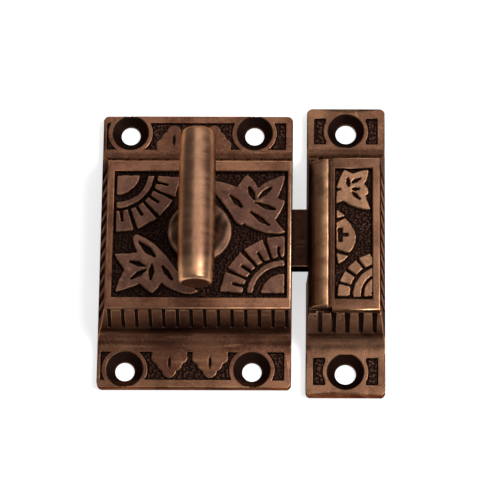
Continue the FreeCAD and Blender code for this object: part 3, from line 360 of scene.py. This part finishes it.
def worn_casting(name, node_name, wear, drop, floor=None, filed=None, dark=None, polish_and_highlight=None):
    """A CAD node's own shape with its hard edges rounded off and rubbed bright.

    wear is how wide the short edges are rounded, and the long ones get twice that. drop says which faces a
    skin takes over, floor is the level of the blackened ear grounds, filed says where filing has left a
    point, dark how black a face stays or, at some places, how much painted shade it gets, and the last
    how bright a point is rubbed or given a painted highlight. Where dark is given, faces with inward
    corners along most of their outline count as the floors of grooves and stay black.
    """
    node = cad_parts[node_name]
    graph = bmesh.new()
    graph.from_mesh(node.data)
    graph.transform(node.matrix_world)
    bmesh.ops.remove_doubles(graph, verts=graph.verts, dist=0.002 * MM)
    doomed = [face for face in graph.faces if drop(face.calc_center_median() / MM, face.normal)]
    bmesh.ops.delete(graph, geom=doomed, context="FACES")
    if filed:
        for vert in graph.verts:
            vert.co = filed(vert.co / MM) * MM
    bmesh.ops.dissolve_limit(graph, angle_limit=math.radians(0.6), verts=graph.verts, edges=graph.edges)
    graph.normal_update()
    deep = graph.faces.layers.int.new("deep")
    for face in graph.faces:
        inward = [edge for edge in face.edges if edge.calc_face_angle(0.0) > 0.5 and not edge.is_convex]
        face[deep] = int(sum(edge.calc_length() for edge in inward) > 0.5 * face.calc_perimeter())
    rounded = set()
    long_edges, all_edges = 6.0, 0.0
    hard_angle = math.radians(28.0)
    for shortest, width, steps in ((long_edges, 2.0 * wear, 4), (all_edges, wear, 2)):
        hard = [edge for edge in graph.edges if edge.calc_face_angle(0.0) > hard_angle
                and edge.calc_length() > shortest * MM and not rounded.intersection(edge.link_faces)]
        ridge = bmesh.ops.bevel(graph, geom=hard, offset=width * MM, offset_type="OFFSET", segments=steps,
                                profile=0.5, affect="EDGES", clamp_overlap=False)
        rounded = {face for face in rounded if face.is_valid}.union(ridge["faces"])
    graph.normal_update()
    low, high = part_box(node_name)
    sunk, wear_and_highlight = [], []
    for vert in graph.verts:
        vert.co = [min(max(place, least), most) for place, least, most in zip(vert.co, low, high)]
        stands = sum((edge.other_vert(vert).co - vert.co).dot(vert.normal) for edge in vert.link_edges) < 0.0
        worn = 1.0 if stands and all(face in rounded for face in vert.link_faces) else 0.0
        # Some hooks add painted shade here, as well as keeping the bronzing's black.
        shaded = dark(vert.co / MM, vert.normal) if dark else 0.0
        worn *= 1.0 - 0.9 * shaded
        # Some hooks add a painted highlight here, on top of the edge wear.
        if polish_and_highlight:
            worn = max(worn, polish_and_highlight(vert.co / MM))
        on_ground = floor is not None and abs(vert.co.z / MM - floor) < 0.05
        black = 1.0 if on_ground else shaded
        for face in vert.link_faces:
            if dark and face not in rounded:
                black = max(black, face[deep], dark(face.calc_center_median() / MM, face.normal))
        sunk.append(black)
        wear_and_highlight.append(worn)
    mesh = bpy.data.meshes.new(name)
    graph.to_mesh(mesh)
    graph.free()
    mark(mesh, "sunk", sunk)
    mark(mesh, "wear_and_highlight", wear_and_highlight)
    flat_back = -0.95
    mesh.polygons.foreach_set("use_smooth", [face.normal.z > flat_back for face in mesh.polygons])
    mesh.set_sharp_from_angle(angle=math.radians(75.0))
    piece = placed(name, mesh)
    even = piece.modifiers.new("even_faces", "WEIGHTED_NORMAL")
    even.weight = 100
    even.keep_sharp = False
    return piece


def ear_ground(name, seen, x_span, y_span, floor, seed, leaf=None):
    """The punched ground of a sunk place in an ear. It stops where the screw lands stand up, and leaf says
    where a leaf stands up out of it."""
    grid_pitch, grain_pitch = 0.10, 0.66
    x, y = grid_over(x_span, y_span, grid_pitch)
    low = np.abs(front_height(seen, x, y) - floor) < 0.02
    standing = leaf(x, y) if leaf else np.zeros_like(low)
    shown = low | standing
    inside = shown.copy()
    inside[0, :] = inside[-1, :] = False
    inside[:, 0] = inside[:, -1] = False
    shore = np.clip(soften(inside.astype(float), 2) * 2.0 - 1.0, 0.0, 1.0)
    top = standing.astype(float)
    bank = soften(top, 2)
    clear_of_leaf = 1.0 - np.clip(soften(top, 8) * 3.0, 0.0, 1.0)
    grains = punched(x, y, grain_pitch, seed) * shore * clear_of_leaf
    above_floor, grain_rise, leaf_rise = 0.01, 0.22, 0.445
    z = floor + above_floor + grain_rise * grains + leaf_rise * bank
    mesh = grid_skin(name, x, y, z, shown)
    mark(mesh, "sunk", (ground_left(bank) * (1.0 - 0.55 * grains ** 2)).reshape(-1))
    mark(mesh, "wear_and_highlight", (0.6 * worn_rim(top, bank, 6)).reshape(-1))
    graph = bmesh.new()
    graph.from_mesh(mesh)
    loose = [vert for vert in graph.verts if not vert.link_faces]
    bmesh.ops.delete(graph, geom=loose, context="VERTS")
    graph.to_mesh(mesh)
    graph.free()
    smooth(mesh)
    return placed(name, mesh)


case_x = (-16.4, 16.45)
case_y = (-12.6, 12.6)
case_floor = 10.5
case_relief_top = 11.3
case_frame_top = 11.35
case_ear_x = (-18.78, 15.88)
case_ear_y = (20.28, 26.08)
case_ear_floor = 1.75
case_holes_x = (-14.25, 9.85)
case_holes_y = 24.0
case_countersink = 3.6
boss_radius = 5.7
reed_first = -16.9
reed_pitch = 2.569
reed_half = 0.56
reed_narrowing = 0.60


def in_field(centre, x_span, y_span):
    """Whether a face lies inside a sunk field, clear of the walls round it."""
    margin = 0.02
    inside_x = x_span[0] + margin < centre.x < x_span[1] - margin
    return inside_x and y_span[0] + margin < centre.y < y_span[1] - margin


def under_case_field(centre, normal):
    """The faces of the sunk field, which the field's skin takes over."""
    clear_of_boss = math.hypot(centre.x, centre.y) > boss_radius
    at_level = case_floor - 0.1 < centre.z < case_relief_top
    return in_field(centre, case_x, case_y) and clear_of_boss and at_level


def case_filing(point):
    """The frame's outer edges are filed down a little, and the reeds stand closer than in the mould."""
    point = point.copy()
    on_outer_edge = point.x < -17.6 or point.x > 17.2 or point.y < -14.8
    if point.z > case_frame_top and on_outer_edge:
        point.z -= 0.17
    if 14.4 < abs(point.y) < 17.4 and 5.9 < point.z < case_relief_top:
        groove = round((point.x - reed_first) / reed_pitch) * reed_pitch + reed_first
        if abs(point.x - groove) < reed_half:
            point.x = groove + reed_narrowing * (point.x - groove)
    return point


def case_hollows(centre, normal):
    """The countersinks keep most of their black, and the reeds some of it."""
    near = min(math.hypot(centre.x - x, abs(centre.y) - case_holes_y) for x in case_holes_x)
    in_countersink = near < case_countersink and -0.5 < normal.z < 0.95
    on_reeds = 14.9 < abs(centre.y) < 17.7 and centre.z > 4.0 and normal.z < 0.95
    return 0.88 if in_countersink else 0.42 if on_reeds else 0.0


def case_painted_highlight(point):
    """The frame's right side and the lower ear's edge get a painted highlight, a little brighter where the
    lamps light them.
    """
    on_right_frame = point.z > 11.1 and point.x > 16.4
    on_lower_edge = point.z < 3.0 and point.y < -26.0
    return 0.08 if on_right_frame else 0.12 if on_lower_edge else 0.0


def scalloped_leaves(x, y):
    """Two leaves side by side on an ear, each of five lobes round a stem slit."""
    out = np.abs(y) - 20.6
    leaf = np.zeros_like(x, dtype=bool)
    lobes = ((0.0, 3.7, 1.4), (1.2, 2.5, 1.25), (2.3, 1.05, 1.25))
    steps = ((1.2, 3.7), (2.6, 1.4), (3.45, 0.9))
    slit_out, slit_half_length, slit_half_width = 2.0, 1.25, 0.16
    for middle in (-5.8, 1.9):
        side = np.abs(x - middle)
        for lobe_side, lobe_out, radius in lobes:
            leaf |= np.hypot(side - lobe_side, out - lobe_out) < radius
        for half_width, reach in steps:
            leaf |= (side < half_width) & (out < reach)
        leaf &= ((out - slit_out) / slit_half_length) ** 2 + side / slit_half_width > 1.0
    return leaf


case_seen = probe("case")
case_dull = (0.092, 0.036, 0.021, 1.0)
case_rubbed = (0.225, 0.100, 0.056, 1.0)
case_brush = (0.10, 1.0, 1.0)
leaf_dull = (0.090, 0.041, 0.030, 1.0)
leaf_rubbed = (0.190, 0.091, 0.059, 1.0)
leaf_brush = (0.6, 1.0, 1.0)
casting_shade = (0.9, 0.55, 0.95)
field_shade = (0.5, 0.42, 0.90)
field_glint = 1.6
case_brass = bronzed_brass("case_brass", case_dull, case_rubbed, case_brush, 0.38, shade=casting_shade)
field_brass = bronzed_brass("case_field_brass", leaf_dull, leaf_rubbed, leaf_brush, 0.40,
                            field_glint, field_shade)
edge_wear = 0.15
case_casting = worn_casting("case_casting", "case", edge_wear, under_case_field, case_ear_floor, case_filing,
                            case_hollows, case_painted_highlight)
case_casting.data.materials.append(case_brass)
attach(case_casting, "latch_body")
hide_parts("case")
case_field = cast_field("case_field", case_seen, case_x, case_y, case_floor, pitch=0.096,
                        grain_rise=0.26, seed=11)
case_field.data.materials.append(field_brass)
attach(case_field, "latch_body")
for end, side in (("upper", 1.0), ("lower", -1.0)):
    y_span = sorted(side * y for y in case_ear_y)
    ground = ear_ground(f"{end}_ear_ground", case_seen, case_ear_x, y_span, case_ear_floor, seed=17,
                        leaf=scalloped_leaves)
    ground.data.materials.append(case_brass)
    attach(ground, "latch_body")


# Back plate and its screws. A plain sheet-brass cover let into the case's back and held by four small
# countersunk steel screws. It keeps the bolt and the spring in, and lies against the door.
def plain_metal(name, colour, tint, shine):
    """Uncoated metal with a rolled grain and a few dull clouds."""
    material, tree, shader = tree_of(name)
    clouds = ramp(tree, grain(tree, EVENLY, 120.0, 5.0), 0.3, 0.7, 0.0, 0.7)
    rolled = grain(tree, (0.05, 1.0, 1.0), 900.0, 3.0)
    share = combined(tree, "ADD", clouds, ramp(tree, rolled, 0.3, 0.7, 0.0, 0.3))
    tree.links.new(blended(tree, share, colour, tint), shader.inputs["Base Color"])
    tree.links.new(ramp(tree, share, 0.0, 1.0, shine, shine + 0.18), shader.inputs["Roughness"])
    shader.inputs["Metallic"].default_value = 1.0
    bumpy(tree, shader, rolled, 0.15, 0.03)
    return material


def dress(node_name, material):
    """Give a CAD node that keeps its own shape its finish."""
    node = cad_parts[node_name]
    node.data.materials.clear()
    node.data.materials.append(material)


plate_brass = plain_metal("plate_brass", (0.50, 0.33, 0.13, 1.0), (0.34, 0.21, 0.09, 1.0), 0.34)
screw_steel = plain_metal("screw_steel", (0.46, 0.45, 0.43, 1.0), (0.30, 0.28, 0.26, 1.0), 0.32)
dress("back_plate", plate_brass)
dress("back_plate_screws", screw_steel)


# Turn handle. One brass casting: a barrel-shaped bar, a trumpet neck that flares into a round collar,
# and the spindle that runs through the case. The bar is rubbed lengthways and worn bright by fingers, with a
# painted highlight on its lower end and along its crown.
def spun(profile, steps, turn):
    """A solid of revolution about Z from (radius, height) points, turned into place afterwards."""
    graph = bmesh.new()
    chain = [graph.verts.new((radius * MM, 0.0, height * MM)) for radius, height in profile]
    edges = [graph.edges.new(pair) for pair in zip(chain, chain[1:])]
    bmesh.ops.spin(graph, geom=chain + edges, cent=(0, 0, 0), axis=(0, 0, 1), dvec=(0, 0, 0),
                   angle=math.tau, steps=steps, use_merge=True)
    bmesh.ops.remove_doubles(graph, verts=graph.verts, dist=0.001 * MM)
    bmesh.ops.recalc_face_normals(graph, faces=graph.faces)
    graph.transform(turn)
    mesh = bpy.data.meshes.new("spun")
    graph.to_mesh(mesh)
    graph.free()
    return mesh


def arc(centre, radius, start, end, steps):
    """Points along an arc in the profile's plane, angles in degrees from the outward direction."""
    points = []
    for index in range(steps + 1):
        angle = math.radians(start + (end - start) * index / steps)
        points.append((centre[0] + radius * math.cos(angle), centre[1] + radius * math.sin(angle)))
    return points


around = 72
bar_axis = 26.2
bar_half = 15.0
bar_end = 3.1
bar_middle = 3.418
bar_round = 0.75
bar_steps = 40
bar_profile = [(0.0, -bar_half), (0.9, -bar_half + 0.02)]
bar_profile += arc((bar_end - bar_round, -bar_half + bar_round), bar_round, -90.0, -4.0, 8)
for index in range(1, bar_steps):
    share = index / bar_steps * 2.0 - 1.0
    along = share * (bar_half - bar_round)
    bar_profile.append((bar_middle - (bar_middle - bar_end) * share ** 4, along))
bar_profile += arc((bar_end - bar_round, bar_half - bar_round), bar_round, 4.0, 90.0, 8)
bar_profile += [(0.9, bar_half - 0.02), (0.0, bar_half)]
lay_down = Matrix.Translation((0, 0, bar_axis * MM)) @ Matrix.Rotation(math.radians(-90.0), 4, "X")
turn_handle = placed("turn_handle_casting", spun(bar_profile, around, lay_down))

spindle_low = 9.2
spindle_radius = 2.5
collar_low = 12.15
collar_flat = 5.7
collar_bead = 5.72
collar_round = 0.38
flare_low = collar_low + 0.80
flare_rise = 5.6
flare_radius = 5.15
neck_radius = 2.9
neck_steps = 18
neck_profile = [(0.0, spindle_low), (spindle_radius, spindle_low), (spindle_radius, collar_low),
                (collar_flat, collar_low)]
neck_profile += arc((collar_bead, collar_low + collar_round), collar_round, -90.0, 90.0, 10)
neck_profile += [(5.35, collar_low + 0.74), (flare_radius, flare_low)]
for index in range(1, neck_steps + 1):
    share = index / neck_steps
    radius = neck_radius + (flare_radius - neck_radius) * (1.0 - share) ** 2.3
    neck_profile.append((radius, flare_low + flare_rise * share ** 1.5))
neck_profile += [(2.85, 20.5), (3.0, 21.8), (2.6, 24.6), (0.0, 24.8)]
neck = placed("handle_neck", spun(neck_profile, around, Matrix.Identity(4)))
joined = turn_handle.modifiers.new("cast_in_one", "BOOLEAN")
joined.operation = "UNION"
joined.solver = "EXACT"
joined.object = neck
evaluated = turn_handle.evaluated_get(bpy.context.evaluated_depsgraph_get())
whole = bpy.data.meshes.new_from_object(evaluated)
turn_handle.modifiers.clear()
turn_handle.data = whole
bpy.data.objects.remove(neck)
smooth(whole)
whole.set_sharp_from_angle(angle=math.radians(50.0))

spread, length, height = np.array([vert.co for vert in whole.vertices], dtype=float).T / MM
reach = np.hypot(spread, length)
on_barrel = np.abs(length) < 14.9
on_end_face = np.abs(length) > 14.96
# The neck and the collar keep some of their black, with painted shade added close in under the bar, and the
# bar's end faces are darkened as painted shade.
# The bar's ends are worn bright, and the lower end's extra brightness is a painted highlight.
blotch = 0.75 + 0.5 * waves(spread, length, 4.0, 5)
shade_under_bar = np.clip((22.5 - height) / 3.0, 0.0, 1.0)
dull = np.clip((6.8 - reach) / 2.4, 0.0, 0.70) * shade_under_bar * blotch
mark(whole, "sunk", np.where(on_end_face, 0.6, dull))
# Hands wear both ends, and fingers the crown. The lower end's full brightness and the band along the crown
# are also painted highlight, which spreads the lamp's highlight on the bar.
handled_and_lit = np.where(length < 0.0, 1.0, 0.4) * on_barrel
end_wear_and_highlight = np.clip((np.abs(length) - 10.0) / 3.6, 0.0, 1.0) * handled_and_lit
crown_wear_and_highlight = 0.32 * np.exp(-((spread + 0.5) / 0.9) ** 2) * (height > 28.0) * on_barrel
mark(whole, "wear_and_highlight", np.maximum(end_wear_and_highlight, crown_wear_and_highlight))
bar_dull = (0.225, 0.107, 0.064, 1.0)
bar_rubbed = (0.365, 0.190, 0.114, 1.0)
bar_brush = (0.10, 1.4, 0.10)
handle_brass = bronzed_brass("handle_brass", bar_dull, bar_rubbed, bar_brush, 0.37, glint=0.9, speckled=0.16)
whole.materials.clear()
whole.materials.append(handle_brass)
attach(turn_handle, "handle")
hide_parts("turn_handle")


# Cam, washer and screw. A cast brass finger sits on the square end of the spindle inside the case,
# with a brass washer and a slotted steel screw to keep it there.
cam_brass = plain_metal("cam_brass", (0.46, 0.30, 0.13, 1.0), (0.30, 0.18, 0.08, 1.0), 0.38)
dress("cam", cam_brass)
dress("cam_washer", plate_brass)
dress("cam_screw", screw_steel)


# Latch bolt. A brass bar with a bevelled nose that slides out of the case's side into the keeper.
# It is bronzed like the case and rubbed by the keeper's lip, and its colours are darkened far below the
# case's as painted shade between the two castings.
def nothing(centre, normal):
    """The bolt keeps all its own faces."""
    return False


latch_bolt = worn_casting("latch_bolt_casting", "latch_bolt", 0.12, nothing)
# Near black: the bronzing, darkened further by painted shade from the case and the keeper on either side.
bolt_dull_and_shaded = (0.006, 0.0026, 0.0018, 1.0)
bolt_rubbed_and_shaded = (0.026, 0.0100, 0.0060, 1.0)
bolt_brush = (0.06, 1.0, 1.0)
bolt_brass = bronzed_brass("bolt_brass", bolt_dull_and_shaded, bolt_rubbed_and_shaded, bolt_brush, 0.40, glint=0.35)
latch_bolt.data.materials.append(bolt_brass)
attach(latch_bolt, "bolt")
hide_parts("latch_bolt")


# Bolt spring. A coil of round steel wire between the case's wall and the bolt's tail, inside the case.
# Its end turns are closed so that it stands square. It is built at one length, and nothing here shortens it
# as the bolt is drawn back.
coil_start = -15.93
coil_end = -6.37
coil_radius = 2.26
coil_height = 5.2
wire_radius = 0.30
wire_sides = 12
turns = 6
steps = turns * 40
spring_graph = bmesh.new()
rings = []
for step in range(steps + 1):
    share = step / steps
    climb = np.interp(share * turns, (0.0, 1.0, turns - 1.0, turns), (0.0, 0.07, 0.93, 1.0))
    along = coil_start + (coil_end - coil_start) * climb
    angle = share * turns * math.tau
    out = Vector((0.0, math.cos(angle), math.sin(angle)))
    heart = Vector((along, 0.0, coil_height)) + out * coil_radius
    ring = []
    for side in range(wire_sides):
        turn = side / wire_sides * math.tau
        off_heart = out * math.cos(turn) + Vector((math.sin(turn), 0, 0))
        ring.append(spring_graph.verts.new((heart + off_heart * wire_radius) * MM))
    rings.append(ring)
for first, second in zip(rings, rings[1:]):
    for side in range(wire_sides):
        after = (side + 1) % wire_sides
        spring_graph.faces.new((first[side], first[after], second[after], second[side]))
spring_graph.faces.new(rings[0])
spring_graph.faces.new(rings[-1])
bmesh.ops.recalc_face_normals(spring_graph, faces=spring_graph.faces)
spring_mesh = bpy.data.meshes.new("bolt_spring_wire")
spring_graph.to_mesh(spring_mesh)
spring_graph.free()
smooth(spring_mesh)
spring_mesh.set_sharp_from_angle(angle=math.radians(60.0))
bolt_spring = placed("bolt_spring_wire", spring_mesh)
bolt_spring.data.materials.append(screw_steel)
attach(bolt_spring, "latch_body")
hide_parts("bolt_spring")
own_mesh(bolt_spring)


# Keeper. The second casting, screwed to the other door: two ears, coves and reeds, a rounded lip that
# the bolt's nose rides over, and a narrow panel with one leaf, a notched half-round and a fan.
keeper_centre = 27.55
keeper_x = (keeper_centre - 2.0, keeper_centre + 4.95)
keeper_y = (-13.0, 13.0)
keeper_floor = 11.1
keeper_relief_top = 11.95
keeper_ear_x = (keeper_centre - 6.3, keeper_centre + 6.3)
keeper_ear_y = (21.4, 26.8)
keeper_ear_floor = 1.95
keeper_holes_y = 24.4
keeper_countersink = 3.9
keeper_reed_first = -4.8
keeper_reed_pitch = 2.5625


def under_keeper_field(centre, normal):
    """The faces of the sunk panel, which the panel's skin takes over."""
    at_level = keeper_floor - 0.1 < centre.z < keeper_relief_top
    return in_field(centre, keeper_x, keeper_y) and at_level


def off_groove(point):
    """How far a point of the keeper lies to the side of the nearest reed groove's middle."""
    across = point.x - keeper_centre - keeper_reed_first
    return across - round(across / keeper_reed_pitch) * keeper_reed_pitch


def keeper_filing(point):
    """The panel's edges are filed down a little, and the reed grooves draw in towards their feet."""
    point = point.copy()
    on_side = point.x > keeper_centre + 6.4 or -2.7 < point.x - keeper_centre < -2.5
    if keeper_relief_top < point.z < 12.05 and (on_side or point.y < -15.2):
        point.z -= 0.13
    away = off_groove(point)
    at_groove_foot = 15.0 < abs(point.y) < 18.2 and 5.4 < point.z < 8.0
    if at_groove_foot and abs(away) < reed_half:
        point.x -= 0.38 * away
    return point


def keeper_hollows_and_shade(centre, normal):
    """The countersinks keep most of their black and the reeds some of it. The strip by the lip gets painted
    shade from the lip, and the frame's top bar gets painted shade too.
    """
    across = centre.x - keeper_centre
    near = math.hypot(across, abs(centre.y) - keeper_holes_y)
    in_countersink = near < keeper_countersink and -0.5 < normal.z < 0.95
    on_reeds = 15.3 < abs(centre.y) < 19.2 and centre.z > 4.0 and normal.z < 0.95
    shade_by_lip = 11.6 < centre.z < 12.1 and -3.4 < across < -1.9
    on_top_bar = centre.y > 12.9 and centre.z > 11.6 and across > -3.4
    return 0.88 if in_countersink else 0.38 if on_reeds or shade_by_lip else 0.26 if on_top_bar else 0.0


def lip_wear_and_highlight(point):
    """The bolt and the hand rub the lip brighter towards its crest, and a painted highlight brightens it the
    same way, from its dark left side to its crest on the right.
    """
    across = point.x - keeper_centre
    on_lip = point.z > 11.9 and across < -2.6
    return min(max((across + 6.6) / 2.9, 0.0), 1.0) if on_lip else 0.0


keeper_seen = probe("keeper")
keeper_dull = (0.130, 0.058, 0.033, 1.0)
keeper_rubbed = (0.270, 0.132, 0.074, 1.0)
keeper_brush = (1.0, 0.12, 1.0)
panel_dull = (0.200, 0.100, 0.058, 1.0)
panel_rubbed = (0.370, 0.195, 0.110, 1.0)
panel_brass = bronzed_brass("keeper_field_brass", panel_dull, panel_rubbed, leaf_brush, 0.38,
                            field_glint, field_shade)
keeper_brass = bronzed_brass("keeper_brass", keeper_dull, keeper_rubbed, keeper_brush, 0.38,
                             shade=casting_shade)
keeper_casting = worn_casting("keeper_casting", "keeper", edge_wear, under_keeper_field, keeper_ear_floor,
                              keeper_filing, keeper_hollows_and_shade, lip_wear_and_highlight)
keeper_casting.data.materials.append(keeper_brass)
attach(keeper_casting, "latch_body")
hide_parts("keeper")
keeper_field = cast_field("keeper_field", keeper_seen, keeper_x, keeper_y, keeper_floor, pitch=0.09,
                          grain_rise=0.24, seed=31)
keeper_field.data.materials.append(panel_brass)
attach(keeper_field, "latch_body")
# A strip fills most of the gutter between the lip and the panel. It is darkened a little as painted shade
# from the lip.
seam_low = Vector((keeper_centre - 3.25, -14.6, 10.2)) * MM
seam_high = Vector((keeper_centre - 2.55, 14.6, 11.72)) * MM
seam_place = Matrix.Translation((seam_low + seam_high) / 2.0)
seam_size = Matrix.Diagonal((seam_high - seam_low).to_4d())
seam_graph = bmesh.new()
bmesh.ops.create_cube(seam_graph, size=1.0, matrix=seam_place @ seam_size)
seam_mesh = bpy.data.meshes.new("keeper_seam")
seam_graph.to_mesh(seam_mesh)
seam_graph.free()
mark(seam_mesh, "sunk", [0.30] * len(seam_mesh.vertices))
keeper_seam = placed("keeper_seam", seam_mesh)
seam_mesh.materials.append(keeper_brass)
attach(keeper_seam, "latch_body")
for end, side in (("upper", 1.0), ("lower", -1.0)):
    y_span = sorted(side * y for y in keeper_ear_y)
    ground = ear_ground(f"{end}_keeper_ground", keeper_seen, keeper_ear_x, y_span, keeper_ear_floor, seed=37)
    ground.data.materials.append(keeper_brass)
    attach(ground, "latch_body")


# Stage. A white board that the latch lies on, greyer away from it, a strong soft lamp overhead to the
# right, three dimmer ones around and a dim room, seen from above by a long lens.
board_half = 1.2
board_top = -0.00005
bright_reach = 0.085
grey_reach = 0.30
board_grey = (0.42, 0.42, 0.42, 1.0)
board_pale = (0.86, 0.86, 0.86, 1.0)
corners = [(-1, -1), (1, -1), (1, 1), (-1, 1)]
board_mesh = bpy.data.meshes.new("board")
board_mesh.from_pydata([(x * board_half, y * board_half, board_top) for x, y in corners], [], [(0, 1, 2, 3)])
board = placed("board", board_mesh)
board_white, tree, shader = tree_of("board_white")
spot = tree.nodes.new("ShaderNodeTexCoord")
distance = tree.nodes.new("ShaderNodeVectorMath")
distance.operation = "LENGTH"
tree.links.new(spot.outputs["Object"], distance.inputs[0])
nearness = ramp(tree, distance.outputs["Value"], bright_reach, grey_reach, 1.0, 0.0)
tree.links.new(blended(tree, nearness, board_grey, board_pale), shader.inputs["Base Color"])
shader.inputs["Roughness"].default_value = 0.9
shader.inputs["Specular IOR Level"].default_value = 0.1
path = tree.nodes.new("ShaderNodeLightPath")
seen_plainly = combined(tree, "MAXIMUM", path.outputs["Is Camera Ray"], path.outputs["Is Glossy Ray"])
seen_plainly = combined(tree, "MAXIMUM", seen_plainly, path.outputs["Is Transmission Ray"])
shader.inputs["Emission Color"].default_value = (1.0, 1.0, 1.0, 1.0)
board_glow = ramp(tree, distance.outputs["Value"], bright_reach, grey_reach, 0.62, 0.12)
tree.links.new(combined(tree, "MULTIPLY", seen_plainly, board_glow), shader.inputs["Emission Strength"])
board_mesh.materials.append(board_white)

world = bpy.data.worlds.new("room")
bpy.context.scene.world = world
world.use_nodes = True
background = world.node_tree.nodes["Background"]
background.inputs["Color"].default_value = (0.17, 0.17, 0.175, 1.0)
background.inputs["Strength"].default_value = 1.0


def soft_lamp(name, place, aim, size, glow):
    """A soft box. glow is how bright its face looks, so its power follows from its size."""
    light = bpy.data.lights.new(name, "AREA")
    light.shape = "RECTANGLE"
    light.size = size[0]
    light.size_y = size[1]
    light.energy = glow * math.pi * size[0] * size[1]
    lamp = placed(name, light)
    lamp.location = place
    lamp.rotation_mode = "QUATERNION"
    lamp.rotation_quaternion = (Vector(aim) - Vector(place)).to_track_quat("-Z", "Y")


middle = (0.008, 0.0, 0.01)
soft_lamp("overhead", (0.26, -0.03, 0.41), middle, (0.22, 0.22), 10.0)
soft_lamp("above", (0.04, 0.20, 0.46), middle, (0.34, 0.26), 1.5)
soft_lamp("behind", (0.05, 0.50, 0.22), middle, (0.50, 0.20), 0.8)
soft_lamp("front", (0.05, -0.50, 0.26), middle, (0.50, 0.20), 0.7)

view_distance = 602.35
picture_width = 500.0
pixels_per_mm = 5.2
lens = bpy.data.cameras.new("long_lens")
lens.sensor_width = 36.0
lens.lens = lens.sensor_width * (pixels_per_mm * view_distance) / picture_width
lens.clip_start = 0.01
lens.clip_end = 10.0
camera = placed("long_lens", lens)
azimuth, elevation, roll = (math.radians(angle) for angle in (4.56, 70.5, -4.12))
back = Vector((math.sin(azimuth) * math.cos(elevation), -math.cos(azimuth) * math.cos(elevation),
               math.sin(elevation)))
aim = Vector((9.18, 0.74, 0.0)) * MM
right = Vector((math.cos(azimuth), math.sin(azimuth), 0.0))
up = back.cross(right)
tilted_right = math.cos(roll) * right + math.sin(roll) * up
tilted_up = back.cross(tilted_right)
stand = aim + back * view_distance * MM
camera.matrix_world = Matrix((
    (tilted_right.x, tilted_up.x, back.x, stand.x),
    (tilted_right.y, tilted_up.y, back.y, stand.y),
    (tilted_right.z, tilted_up.z, back.z, stand.z),
    (0.0, 0.0, 0.0, 1.0),
))
bpy.context.scene.camera = camera
bpy.context.scene.view_settings.view_transform = "Standard"
